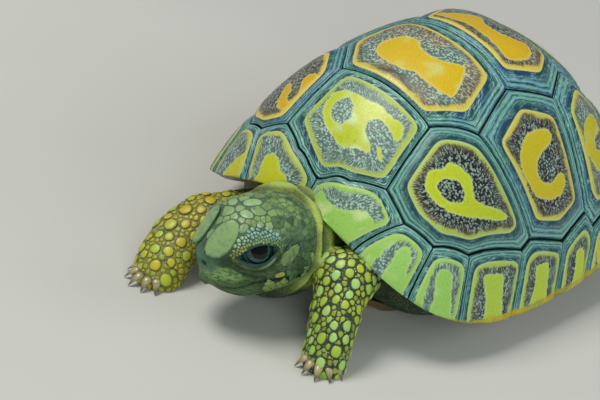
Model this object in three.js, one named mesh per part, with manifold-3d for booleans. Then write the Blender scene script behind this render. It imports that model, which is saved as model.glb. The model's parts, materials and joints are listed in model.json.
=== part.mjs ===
// A young leopard tortoise as a still, life-size model, in millimetres.
// The animal faces -Y, its left side is +X, and the floor is Z = 0. It rests on the flat of its
// plastron and on the soles of its four feet. The origin is on the sole of the plastron, on the
// animal's plane of symmetry.
//
// The shell is a height over the plan, z = carapaceHeight(x, y). Each horny plate is a star-shaped
// patch of that surface, cut off along the seams and a plate's depth thick. The body is a head, a
// neck, a trunk, four legs and a tail, parted from each other by thin cuts.
import * as THREE from "three";
import { mergeVertices } from "three/addons/utils/BufferGeometryUtils.js";
import Module from "manifold-3d";

const wasm = await Module();
wasm.setup();

// ---- driving dimensions ----------------------------------------------------------------------
const GAP = 0.3; // between pieces that touch
const SHELL = {
  front: 31.6, // from the origin to the front rim
  rear: 37, // from the origin to the rear rim
  halfWidth: 28.4,
  top: 38.5, // crown of the carapace above the floor
  planPower: 2.8, // squareness of the oval plan
  domePower: 2.27, // roundness of the crown
  flankPower: 0.855, // steepness of the flanks
  frontRim: 18, // height of the rim over the neck
  sideRim: 4.6, // height of the rim along the bridge
  hipRise: 3.6, // how much the rim lifts over each hind leg
  tailRise: 2.4, // and over the tail
  nuchalNotch: 2, // depth of the notch over the neck
  archPower: 3.8, // how quickly that arch falls away to the sides
  flare: 0.9, // how far the rim flares out over each foreleg
  sway: 0.9, // how far the crown's plates lie to the animal's left
};
const PLATE = { depth: 1.85, rimDepth: 3.05, areolaRise: 0.3, seamDrop: 0.45 };
const EDGE_STEP = 5.5; // longest straight step along a plate's outline
const PLASTRON = { depth: 1.8, flatFront: -17, flatRear: 21, flatSide: 15.5 };

const material = (color, roughness) =>
  new THREE.MeshStandardMaterial({ color, roughness, metalness: 0 });
const MATERIALS = {
  carapace: material(0x8d9a4a, 0.45),
  plastron: material(0xb9a24c, 0.5),
  skin: material(0x8c9850, 0.7),
  leg: material(0xb9ad3a, 0.65),
  eye: material(0x10181a, 0.08),
};

const tortoise = new THREE.Group();
function addPiece(name, geometry, finish) {
  const mesh = new THREE.Mesh(geometry, finish);
  mesh.name = name;
  tortoise.add(mesh);
}

// ---- solids ----------------------------------------------------------------------------------
const { degToRad, lerp, smoothstep } = THREE.MathUtils;

/** A closed BufferGeometry as a solid that can be joined and cut. */
function solidOf(geometry) {
  const bare = geometry.clone();
  bare.deleteAttribute("normal");
  bare.deleteAttribute("uv");
  const merged = mergeVertices(bare, 1e-4);
  return new wasm.Manifold(
    new wasm.Mesh({
      numProp: 3,
      vertProperties: merged.attributes.position.array,
      triVerts: new Uint32Array(merged.index.array),
    }),
  );
}

/** The BufferGeometry of a solid's largest body. A cut can leave crumbs beside it. */
function geometryOf(solid) {
  const bodies = solid.decompose();
  const largest = bodies.reduce((most, body) => (body.volume() > most.volume() ? body : most));
  const mesh = largest.getMesh();
  return new THREE.BufferGeometry()
    .setAttribute("position", new THREE.BufferAttribute(mesh.vertProperties, 3))
    .setIndex(new THREE.BufferAttribute(mesh.triVerts, 1));
}

const joined = (solids) => solids.reduce((whole, solid) => whole.add(solid));
const cutBy = (solid, cutters) => cutters.reduce((rest, cutter) => rest.subtract(cutter), solid);

/** Rings of points, each ring with the same count, skinned into one closed geometry. */
function skinRings(rings, firstCap, lastCap) {
  const count = rings[0].length;
  const points = [...rings.flat(), firstCap, lastCap];
  const first = points.length - 2;
  const last = points.length - 1;
  const faces = [];
  for (let i = 0; i < count; i++) {
    const j = (i + 1) % count;
    faces.push(first, j, i);
    for (let k = 0; k + 1 < rings.length; k++) {
      const [a, b] = [k * count, (k + 1) * count];
      faces.push(a + i, a + j, b + j, a + i, b + j, b + i);
    }
    const end = (rings.length - 1) * count;
    faces.push(end + i, end + j, last);
  }
  return new THREE.BufferGeometry()
    .setAttribute(
      "position",
      new THREE.Float32BufferAttribute(points.flatMap((p) => p.toArray()), 3),
    )
    .setIndex(faces);
}

/** An ellipsoid with its axes along X, Y and Z. */
function ellipsoid(centre, radii, { across = 14, down = 9, grow = 0 } = {}) {
  return new THREE.SphereGeometry(1, across, down)
    .rotateX(Math.PI / 2)
    .scale(...radii.map((r) => r + grow))
    .translate(...centre);
}

/**
 * A limb: ellipses carried along a smooth curve through the stations. A station is
 * [x, y, z, half width, half depth], and the width of each ellipse lies along `side`.
 */
function limb(stations, side, { sides = 12, steps = 6, grow = 0, flatEnd = false } = {}) {
  const path = new THREE.CatmullRomCurve3(stations.map((s) => new THREE.Vector3(...s)));
  const rings = [];
  for (let k = 0; k <= steps; k++) {
    const t = k / steps;
    const at = t * (stations.length - 1);
    const i = Math.min(Math.floor(at), stations.length - 2);
    const half = [3, 4].map((c) => lerp(stations[i][c], stations[i + 1][c], at - i) + grow);
    const centre = path.getPoint(t);
    const along = flatEnd && k === steps ? new THREE.Vector3(0, 0, -1) : path.getTangent(t);
    const depth = new THREE.Vector3().crossVectors(along, side).normalize();
    const width = new THREE.Vector3().crossVectors(depth, along).normalize();
    rings.push(
      Array.from({ length: sides }, (_, n) => {
        const angle = (n / sides) * 2 * Math.PI;
        return centre
          .clone()
          .addScaledVector(width, half[0] * Math.cos(angle))
          .addScaledVector(depth, half[1] * Math.sin(angle));
      }),
    );
  }
  return skinRings(rings, path.getPoint(0), path.getPoint(1));
}

// ---- the carapace's surface ------------------------------------------------------------------
const bump = (angle, centre, width) => Math.exp(-(((angle - centre) / width) ** 2));

/** How far the rim is from the origin, at an angle in degrees from the front. */
function rimRadius(angle) {
  const sine = Math.abs(Math.sin(degToRad(angle)));
  const cosine = Math.cos(degToRad(angle));
  const reach = cosine > 0 ? SHELL.front : SHELL.rear;
  const across = (sine / SHELL.halfWidth) ** SHELL.planPower;
  const along = (Math.abs(cosine) / reach) ** SHELL.planPower;
  return (
    (across + along) ** (-1 / SHELL.planPower) -
    SHELL.nuchalNotch * bump(angle, 0, 7) +
    SHELL.flare * bump(Math.abs(angle), 46, 17)
  );
}

/** Height of the rim: an arch over the neck, low along the bridge, lifted over the hind legs. */
function rimHeight(angle) {
  const away = Math.abs(angle);
  const arch = Math.max(Math.cos(degToRad(angle)), 0) ** SHELL.archPower;
  return (
    SHELL.sideRim +
    (SHELL.frontRim - SHELL.sideRim) * arch +
    SHELL.hipRise * bump(away, 140, 20) +
    SHELL.tailRise * bump(away, 180, 18)
  );
}

const angleOf = (x, y) => THREE.MathUtils.radToDeg(Math.atan2(x, -y));
const rimShare = (x, y) => Math.hypot(x, y) / rimRadius(angleOf(x, y));
const onRim = (angle) => {
  const radius = rimRadius(angle);
  return [radius * Math.sin(degToRad(angle)), -radius * Math.cos(degToRad(angle))];
};

/** The dome's height. The notch over the neck bends it only beside the rim. */
function carapaceHeight(x, y) {
  const angle = angleOf(x, y);
  const share = Math.min(rimShare(x, y), 1);
  const radius = rimRadius(angle);
  const plain = share * (radius / (radius + SHELL.nuchalNotch * bump(angle, 0, 7)));
  const form = lerp(plain, share, smoothstep(share, 0.75, 1));
  const rim = rimHeight(angle);
  return rim + (SHELL.top - rim) * (1 - form ** SHELL.domePower) ** SHELL.flankPower;
}

/** A height function's outward normal. Close to the rim it is taken a little way inside. */
function normalOf(height, x, y, share) {
  const inward = share > 0.975 ? 0.975 / share : 1;
  const [u, v] = [x * inward, y * inward];
  const step = 0.05;
  const slopeX = (height(u + step, v) - height(u - step, v)) / (2 * step);
  const slopeY = (height(u, v + step) - height(u, v - step)) / (2 * step);
  return new THREE.Vector3(-slopeX, -slopeY, 1).normalize();
}

/** Depth of the plates: thicker towards the rim, where they fold under. */
const plateDepth = (x, y) =>
  lerp(PLATE.depth, PLATE.rimDepth, smoothstep(rimShare(x, y), 0.9, 1));

const carapace = {
  point(x, y, rise) {
    const normal = normalOf(carapaceHeight, x, y, rimShare(x, y));
    return new THREE.Vector3(x, y, carapaceHeight(x, y)).addScaledVector(normal, rise);
  },
  depth: plateDepth,
};

// ---- the plastron's surface ------------------------------------------------------------------
/** Height of the plastron's sole: flat, but rising at the throat, at the tail and on the bridge. */
function soleHeight(x, y) {
  const throat = 3.2 * (Math.max(PLASTRON.flatFront - y, 0) / 11) ** 2;
  const tail = 1.8 * (Math.max(y - PLASTRON.flatRear, 0) / 10) ** 2;
  const bridge = 3.4 * (Math.max(Math.abs(x) - PLASTRON.flatSide, 0) / 9) ** 1.5;
  return throat + tail + bridge;
}

const plastron = {
  point(x, y, rise) {
    const normal = normalOf(soleHeight, x, y, 0).negate();
    return new THREE.Vector3(x, y, soleHeight(x, y)).addScaledVector(normal, rise);
  },
  depth: () => PLASTRON.depth,
};

// ---- plates ----------------------------------------------------------------------------------
/** Points of a plate's outline: its corners, with steps of up to `stride` between them. */
function outlineOf(corners, surface, stride) {
  const outline = [];
  corners.forEach((corner, i) => {
    const next = corners[(i + 1) % corners.length];
    const length = surface.point(...corner.at, 0).distanceTo(surface.point(...next.at, 0));
    const steps = Math.max(1, Math.round(length / stride));
    for (let k = 0; k < steps; k++) {
      const t = k / steps;
      outline.push(
        corner.angle !== undefined && next.angle !== undefined
          ? onRim(lerp(corner.angle, next.angle, t))
          : [lerp(corner.at[0], next.at[0], t), lerp(corner.at[1], next.at[1], t)],
      );
    }
  });
  return outline;
}

const middleOf = (outline) =>
  [0, 1].map((axis) => outline.reduce((sum, p) => sum + p[axis], 0) / outline.length);

/**
 * A horny plate. `levels` run from the seam to the heart, each [share of the way out, rise], and
 * `grow` makes the plate larger all round, to cut room for it out of its neighbours.
 */
function plate(outline, centre, surface, levels, grow = 0) {
  const inset = GAP * 0.65 - grow;
  const heart = surface.point(...centre, 0);
  const ringAt = (share, riseAt) =>
    outline.map(([x, y]) => {
      const reach = surface.point(x, y, 0).distanceTo(heart);
      const out = share * (1 - inset / reach);
      const [u, v] = [lerp(centre[0], x, out), lerp(centre[1], y, out)];
      return surface.point(u, v, riseAt(u, v));
    });
  const under = (u, v) => -surface.depth(u, v) - grow;
  const rings = [ringAt(1, under)];
  for (const [share, rise] of levels.slice(0, -1)) rings.push(ringAt(share, () => rise + grow));
  return skinRings(
    rings,
    surface.point(...centre, under(...centre)),
    surface.point(...centre, levels.at(-1)[1] + grow),
  );
}

const CARAPACE_LEVELS = [
  [1, -PLATE.seamDrop],
  [0.78, 0.1],
  [0.4, PLATE.areolaRise],
  [0, PLATE.areolaRise * 1.15],
];
const MARGINAL_LEVELS = [
  [1, -0.3],
  [0.7, 0.15],
  [0, 0.2],
];
const PLASTRON_LEVELS = [
  [1, -0.25],
  [0.93, 0],
  [0.6, 0],
  [0, 0],
];

// Where seams meet, on the animal's left; `right` mirrors them. Vertebral plates run down the
// middle, costals lie beside them, and marginals edge the shell.
const SEAM = {
  neck: [0, -28.4],
  v1m1: [5.4, -27.8],
  v1c1: [10.6, -25.3],
  v12: [9.4, -16.5],
  c12v2: [14.2, -9.8],
  v23: [10.8, -0.1],
  c23v3: [13.6, 9.4],
  v34: [9.6, 15.6],
  c34v4: [12, 21.5],
  v45: [7.2, 26.4],
  m12: [15.2, -25.2],
  m23: [19.7, -22.6],
  m34: [22.9, -17.2],
  m45: [24.9, -5.8],
  c12: [24.5, -3.6],
  m56: [25.6, 4.4],
  c23: [24.3, 11],
  m67: [25.4, 12.9],
  m78: [24, 19.2],
  c34: [22.8, 21.8],
  m89: [20.8, 25],
  m910: [17, 28.4],
  m1011: [13, 30.6],
  c4v5: [9.4, 31.8],
  tail: [5, 32.8],
};
const RIM_ANGLES = [0, 20.6, 37.4, 52.3, 72.4, 94, 109.5, 125, 138, 150, 161.5, 172.5, 187.5];

const left = (key) => ({ at: SEAM[key] });
const right = (key) => ({ at: [-SEAM[key][0], SEAM[key][1]] });
const rim = (angle) => ({ at: onRim(angle), angle });
const mirrored = (corners) =>
  corners
    .map(({ at, angle }) => ({ at: [-at[0], at[1]], angle: angle === undefined ? angle : -angle }))
    .reverse();
/** A corner moved to the animal's left: fully at the crown, not at all on the rim. */
const swayed = ({ at: [x, y], angle }) =>
  angle === undefined
    ? { at: [x + SHELL.sway * (1 - Math.min(rimShare(x, y), 1) ** 4), y] }
    : { at: [x, y], angle };

// Corners run anticlockwise from above. The shell's left half is +X.
const VERTEBRALS = [
  ["neck", "v1m1", "v1c1", "v12"],
  ["v12", "c12v2", "v23"],
  ["v23", "c23v3", "v34"],
  ["v34", "c34v4", "v45"],
  ["v45", "c4v5", "tail"],
].map((keys) => {
  const half = keys.map(left);
  const other = keys.filter((key) => SEAM[key][0] > 0).map(right).reverse();
  return [...half, ...other];
});
const COSTALS = [
  ["v1c1", "m12", "m23", "m34", "m45", "c12", "c12v2", "v12"],
  ["c12", "m56", "c23", "c23v3", "v23", "c12v2"],
  ["c23", "m67", "m78", "c34", "c34v4", "v34", "c23v3"],
  ["c34", "m89", "m910", "m1011", "c4v5", "v45", "c34v4"],
].map((keys) => keys.map(left));
const MARGINALS = [
  ["m12", "v1c1", "v1m1", "neck"],
  ["m23", "m12"],
  ["m34", "m23"],
  ["m45", "m34"],
  ["m56", "c12", "m45"],
  ["m67", "c23", "m56"],
  ["m78", "m67"],
  ["m89", "c34", "m78"],
  ["m910", "m89"],
  ["m1011", "m910"],
  ["tail", "c4v5", "m1011"],
].map((keys, i) => [rim(RIM_ANGLES[i]), rim(RIM_ANGLES[i + 1]), ...keys.map(left)]);
const SUPRACAUDAL = [rim(RIM_ANGLES[11]), rim(RIM_ANGLES[12]), right("tail"), left("tail")];

const platePlans = [];
function planPlate(name, corners, levels) {
  const outline = outlineOf(corners.map(swayed), carapace, EDGE_STEP);
  platePlans.push({ name, outline, centre: middleOf(outline), levels });
}
VERTEBRALS.forEach((corners, i) => planPlate(`vertebral_${i + 1}`, corners, CARAPACE_LEVELS));
COSTALS.forEach((corners, i) => {
  planPlate(`costal_left_${i + 1}`, corners, CARAPACE_LEVELS);
  planPlate(`costal_right_${i + 1}`, mirrored(corners), CARAPACE_LEVELS);
});
MARGINALS.forEach((corners, i) => {
  planPlate(`marginal_left_${i + 1}`, corners, MARGINAL_LEVELS);
  planPlate(`marginal_right_${i + 1}`, mirrored(corners), MARGINAL_LEVELS);
});
planPlate("supracaudal", SUPRACAUDAL, MARGINAL_LEVELS);

const carapacePlate = (plan, grow) =>
  plate(plan.outline, plan.centre, carapace, plan.levels, grow);
for (const plan of platePlans) addPiece(plan.name, carapacePlate(plan, 0), MATERIALS.carapace);

// The plastron's six rows of plates, each given by the left half of its outline, front to back.
const PLASTRON_ROWS = {
  gular: [[0, -27.8], [3.4, -28.6], [6.6, -26.2], [0, -21]],
  humeral: [[0, -21], [6.6, -26.2], [12.5, -20.8], [15, -14.6], [0, -12.6]],
  pectoral: [[0, -12.6], [15, -14.6], [23.4, -12.4], [24.4, -7], [12, -8.6], [0, -9.6]],
  abdominal: [[0, -9.6], [12, -8.6], [24.4, -7], [24.6, 9.5], [15, 14.4], [0, 12]],
  femoral: [[0, 12], [15, 14.4], [14.2, 21.2], [10.8, 24], [0, 21.4]],
  anal: [[0, 21.4], [10.8, 24], [7.2, 30.4], [3.2, 31], [0, 28.4]],
};
const plastronPlans = Object.entries(PLASTRON_ROWS).map(([row, half]) => {
  const other = half.filter(([x]) => x > 0).map(([x, y]) => [-x, y]);
  // On the sole, which faces down, the outline runs the other way round.
  const corners = [...other, half.at(-1), ...half.slice(1, -1).reverse(), half[0]];
  const outline = outlineOf(corners.map((at) => ({ at })), plastron, EDGE_STEP * 1.5);
  const middle = (half[0][1] + half.at(-1)[1]) / 2;
  return { name: `plastron_${row}`, outline, centre: [0, middle] };
});
const plastronPlate = (plan, grow) =>
  plate(plan.outline, plan.centre, plastron, PLASTRON_LEVELS, grow);
for (const plan of plastronPlans) addPiece(plan.name, plastronPlate(plan, 0), MATERIALS.plastron);

// ---- the trunk -------------------------------------------------------------------------------
// The body inside the shell. Its back is made of the same patches as the plates, one gap further
// in, so it backs every plate evenly. In front and behind it is drawn in from the rim.
const recess = (angle) =>
  0.2 * bump(angle, 0, 55) + 0.23 * bump(Math.abs(angle), 147, 24) + 0.01;
const BELLY_SHARE = [1, 0.8, 0.55]; // how far out its rings along the plastron lie

function trunkGeometry(grow) {
  const points = [];
  const faces = [];
  const index = new Map();
  const vertex = (p) => {
    const key = p.toArray().map((c) => c.toFixed(3)).join();
    if (!index.has(key)) index.set(key, points.push(p) - 1);
    return index.get(key);
  };
  const back = ([x, y]) => carapace.point(x, y, -plateDepth(x, y) - GAP);
  const edge = [];
  for (const { outline, centre } of platePlans) {
    const heart = vertex(back(centre));
    outline.forEach((p, i) => {
      const q = outline[(i + 1) % outline.length];
      faces.push(heart, vertex(back(p)), vertex(back(q)));
      if (rimShare(...p) > 0.999 && rimShare(...q) > 0.999) edge.push([p, q]);
    });
  }
  // Rings that close the body below: drawn in under the rim, down to the plastron, and inwards.
  const floorOf = (x, y) => soleHeight(x, y) + PLASTRON.depth + GAP - grow;
  const belly = BELLY_SHARE.map((share) => (p) => {
    const from = back(p);
    const inward = share * (1 - recess(angleOf(...p))) + grow / Math.hypot(from.x, from.y);
    const [x, y] = [from.x * inward, from.y * inward];
    return vertex(new THREE.Vector3(x, y, floorOf(x, y)));
  });
  const middle = vertex(new THREE.Vector3(0, 0, floorOf(0, 0)));
  for (const [p, q] of edge) {
    let [a, b] = [vertex(back(p)), vertex(back(q))];
    for (const ring of belly) {
      const [c, d] = [ring(p), ring(q)];
      faces.push(b, a, c, b, c, d);
      [a, b] = [c, d];
    }
    faces.push(b, a, middle);
  }
  return new THREE.BufferGeometry()
    .setAttribute(
      "position",
      new THREE.Float32BufferAttribute(points.flatMap((p) => p.toArray()), 3),
    )
    .setIndex(faces);
}

const plastronRoom = plastronPlans.map((plan) => solidOf(plastronPlate(plan, GAP)));
const shellRoom = platePlans
  .filter(({ name }) => /marginal|vertebral_1$|supracaudal/.test(name))
  .map((plan) => solidOf(carapacePlate(plan, GAP)));
const trunk = cutBy(solidOf(trunkGeometry(0)), plastronRoom);
const trunkRoom = solidOf(trunkGeometry(GAP));
addPiece("trunk", geometryOf(trunk), MATERIALS.skin);

// ---- the head --------------------------------------------------------------------------------
// In its own frame the head faces -Y, with the tip of the beak at the origin.
const HEAD = {
  beak: new THREE.Vector3(-2.8, -47, 7.9),
  turn: -14, // to the animal's right
  nod: 14, // nose down
  tilt: -3,
  mouth: -1.7, // height of the mouth's slit
  jawLength: 11.4,
};
const headMatrix = new THREE.Matrix4()
  .makeRotationFromEuler(
    new THREE.Euler(degToRad(HEAD.nod), degToRad(HEAD.tilt), degToRad(HEAD.turn), "ZXY"),
  )
  .setPosition(HEAD.beak);
// Sections of the head: how far back, half width, top, bottom, and height of the widest place.
const HEAD_SECTIONS = [
  [-0.3, 1, 4.6, 2.3, 3.4],
  [0.2, 2.2, 5.6, -0.4, 2.8],
  [1.5, 3.5, 6.8, -2.9, 2.2],
  [3.6, 4.8, 8.4, -4.1, 1.7],
  [6, 5.8, 9.8, -4.3, 1.6],
  [9, 6.8, 10.1, -4.2, 1.6],
  [12.5, 7.2, 9.2, -4, 1.6],
  [15.5, 6.7, 8, -3.4, 1.8],
  [18, 5, 6.2, -2.2, 1.8],
];
// Squareness of a section over its widest place, and under it at the beak and behind.
const SQUARENESS = { above: 2.6, beak: 2.2, jaw: 3.8 };
// Swellings of the head, mirrored to both sides: where, how high and how wide.
const SWELLINGS = [
  { at: [4.3, 5.2, 7.4], rise: 1.1, width: 2.8 }, // brow
  { at: [1.7, 2.4, 6.8], rise: 0.4, width: 1.8 }, // large scale over the nose
  { at: [6.8, 12, 0.5], rise: 0.4, width: 3 }, // hinge of the jaw
];
const EYE = { side: 4.3, back: 7, up: 4.5, radius: 2.5 };

function headForm(grow, { sides = 22, stepsPerSection = 1.5 } = {}) {
  const column = (c) =>
    new THREE.CatmullRomCurve3(
      HEAD_SECTIONS.map((row) => new THREE.Vector3(row[c], row[c + 1] ?? 0, 0)),
    );
  const [first, second, third] = [column(0), column(2), column(4)];
  const steps = Math.round((HEAD_SECTIONS.length - 1) * stepsPerSection);
  const rings = Array.from({ length: steps + 1 }, (_, k) => {
    const t = k / steps;
    const [back, halfWidth] = first.getPoint(t).toArray();
    const [top, bottom] = second.getPoint(t).toArray();
    const widest = third.getPoint(t).x;
    return Array.from({ length: sides }, (_, n) => {
      const angle = (-n / sides) * 2 * Math.PI;
      const below = lerp(SQUARENESS.beak, SQUARENESS.jaw, smoothstep(back, 0.5, 5));
      const power = Math.sin(angle) > 0 ? SQUARENESS.above : below;
      const round = (value) => Math.sign(value) * Math.abs(value) ** (2 / power);
      const [across, up] = [round(Math.cos(angle)), round(Math.sin(angle))];
      const reach = up > 0 ? top - widest : widest - bottom;
      const point = new THREE.Vector3(halfWidth * across, back, widest + reach * up);
      const outward = new THREE.Vector3(across / halfWidth, 0, up / reach).normalize();
      const swell = SWELLINGS.reduce((sum, { at, rise, width }) => {
        const away = Math.hypot(Math.abs(point.x) - at[0], point.y - at[1], point.z - at[2]);
        return sum + rise * bump(away, 0, width);
      }, grow);
      return point.addScaledVector(outward, swell);
    });
  });
  const cap = (ring, along) =>
    ring
      .reduce((sum, p) => sum.add(p), new THREE.Vector3())
      .divideScalar(ring.length)
      .add(new THREE.Vector3(0, along * (0.3 + grow), 0));
  return solidOf(skinRings(rings, cap(rings[0], -1), cap(rings.at(-1), 1)));
}
const placed = (solid) => solidOf(geometryOf(solid).applyMatrix4(headMatrix));
const eyes = [1, -1].map((side) => ({
  name: side > 0 ? "eye_left" : "eye_right",
  ball: (grow) =>
    solidOf(
      ellipsoid([side * EYE.side, EYE.back, EYE.up], Array(3).fill(EYE.radius), {
        across: 12,
        down: 8,
        grow,
      }),
    ),
}));
const sockets = eyes.map(({ ball }) => ball(GAP));
const jawBlock = (grow) =>
  solidOf(
    new THREE.BoxGeometry(20, HEAD.jawLength + 4, 8).translate(
      0,
      (HEAD.jawLength + grow) / 2 - 2 + grow / 2,
      HEAD.mouth - 4 + grow,
    ),
  );
const wholeHead = headForm(0);
const skull = placed(cutBy(wholeHead, [...sockets, jawBlock(GAP)]));
addPiece("head", geometryOf(cutBy(skull, shellRoom)), MATERIALS.skin);
addPiece("lower_jaw", geometryOf(placed(wholeHead.intersect(jawBlock(0)))), MATERIALS.skin);
for (const { name, ball } of eyes) addPiece(name, geometryOf(placed(ball(0))), MATERIALS.eye);
const headRoom = placed(headForm(GAP));

// ---- the neck, with the roll of skin that the head draws back into ----------------------------
const neckForm = (grow) =>
  limb(
    [
      [0, -16, 8.6, 6.5, 5.5],
      [0, -23, 9.6, 7.2, 6.6],
      [-0.2, -28.6, 10.6, 8, 7.8],
      [-0.7, -33.4, 11, 8.5, 8.6],
      [-1.2, -36.8, 10.4, 7.2, 7.6],
    ],
    new THREE.Vector3(1, 0, 0),
    { sides: 14, steps: 7, grow },
  );
const neck = cutBy(solidOf(neckForm(0)), [trunkRoom, headRoom, ...shellRoom, ...plastronRoom]);
const neckRoom = solidOf(neckForm(GAP));

// ---- the legs --------------------------------------------------------------------------------
/** A small pointed claw that lies on the floor, from its root to its tip. */
function claw([x, y], heading, length) {
  return solidOf(
    new THREE.ConeGeometry(0.8, length, 6)
      .rotateX(Math.PI + 0.2)
      .translate(0, -length / 2, 0)
      .rotateZ(degToRad(heading))
      .translate(x, y, 1.15),
  );
}

/** Claws fanned across the front of a foot whose sole is centred on `at`. */
function clawFan(at, reach, heading, count, spread) {
  return Array.from({ length: count }, (_, i) => {
    const turn = heading + (i - (count - 1) / 2) * spread;
    const [dx, dy] = [Math.sin(degToRad(turn)), -Math.cos(degToRad(turn))];
    return claw([at[0] + reach * dx, at[1] + reach * dy], turn, 2.6);
  });
}

const LEGS = {
  foreleg_left: {
    upper: [
      [8.5, -18, 8, 4, 4],
      [10, -25, 9.4, 4.6, 4.2],
      [11.4, -31, 10.2, 4.8, 4],
    ],
    lower: [
      [11.4, -31, 10.2, 4.8, 4],
      [13.6, -34.6, 6.6, 4.9, 3.5],
      [15.4, -37.2, 3, 4.6, 3.3],
      [16.2, -38.6, 0, 4.3, 3.5],
    ],
    side: [0.86, -0.5, 0],
    claws: { reach: 2.9, heading: 28, count: 5, spread: 26 },
  },
  foreleg_right: {
    upper: [
      [-8.5, -18, 7.6, 4, 3.8],
      [-11.4, -26.5, 8.4, 4.6, 3.9],
      [-14.8, -34.2, 7.4, 4.7, 3.7],
    ],
    lower: [
      [-14.8, -34.2, 7.4, 4.7, 3.7],
      [-15.4, -38.4, 5.6, 4.8, 3.4],
      [-14.5, -42.4, 2.8, 4.6, 3.1],
      [-13.8, -44.4, 0, 4.2, 3.5],
    ],
    side: [0.97, 0.24, 0],
    claws: { reach: 3, heading: -10, count: 5, spread: 26 },
  },
  hindleg_left: {
    upper: [
      [8, 15, 7, 5, 4.2],
      [14.6, 21.5, 6.6, 5, 4.2],
      [19, 26, 4.8, 4.2, 3.6],
    ],
    lower: [
      [19, 26, 4.8, 4.2, 3.6],
      [20.2, 27.4, 2.4, 4, 4],
      [20.6, 27.6, 0, 3.9, 4.1],
    ],
    side: [0.8, 0.6, 0],
    claws: { reach: 3, heading: 30, count: 4, spread: 27 },
  },
  hindleg_right: {
    upper: [
      [-8, 15, 7, 5, 4.2],
      [-14.6, 21.5, 6.6, 5, 4.2],
      [-19, 26, 4.8, 4.2, 3.6],
    ],
    lower: [
      [-19, 26, 4.8, 4.2, 3.6],
      [-20.2, 27.4, 2.4, 4, 4],
      [-20.6, 27.6, 0, 3.9, 4.1],
    ],
    side: [0.8, -0.6, 0],
    claws: { reach: 3, heading: -30, count: 4, spread: 27 },
  },
};
const underFloor = solidOf(new THREE.BoxGeometry(160, 160, 10).translate(0, 0, -5));

for (const [name, { upper, lower, side, claws }] of Object.entries(LEGS)) {
  const across = new THREE.Vector3(...side);
  const foot = (grow) =>
    solidOf(limb(lower, across, { sides: 14, steps: 6, grow, flatEnd: true }));
  const sole = lower.at(-1);
  const toes = clawFan(sole, claws.reach, claws.heading, claws.count, claws.spread);
  const wholeFoot = cutBy(joined([foot(0), ...toes]), [underFloor, neckRoom, ...shellRoom]);
  const arm = solidOf(limb(upper, across, { sides: 12, steps: 5 }));
  const room = [trunkRoom, neckRoom, ...shellRoom, ...plastronRoom, foot(GAP)];
  addPiece(`${name}_upper`, geometryOf(cutBy(arm, room)), MATERIALS.leg);
  addPiece(`${name}_foot`, geometryOf(wholeFoot.subtract(trunkRoom)), MATERIALS.leg);
}
addPiece("neck", geometryOf(neck), MATERIALS.skin);

// ---- the tail --------------------------------------------------------------------------------
const tail = limb(
  [
    [0, 26, 6, 3.6, 3],
    [0.4, 31.4, 5.4, 2.8, 2.4],
    [1.6, 35.4, 3.6, 1.7, 1.5],
    [3.4, 37.8, 2, 0.5, 0.5],
  ],
  new THREE.Vector3(1, 0, 0),
  { sides: 10, steps: 6 },
);
addPiece(
  "tail",
  geometryOf(cutBy(solidOf(tail), [trunkRoom, ...shellRoom, ...plastronRoom])),
  MATERIALS.skin,
);

export default tortoise;
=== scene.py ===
"""The looks of a juvenile leopard tortoise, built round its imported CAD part.

Shapes are worked out in millimetres and turned to metres as each mesh is made. +X is the
animal's left, +Y its back and +Z up; the floor is z = 0. The shell is a set of horny plates,
each one closed mesh; the flesh is one skin, drawn from a distance field; the scales are small
closed meshes set on that skin.
"""

import json  # noqa: E402
import logging  # noqa: E402
import math  # noqa: E402
from collections.abc import Callable, Iterator, Sequence  # noqa: E402
from dataclasses import dataclass, field, replace  # noqa: E402
from enum import Enum  # noqa: E402
from typing import Protocol  # noqa: E402

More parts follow.
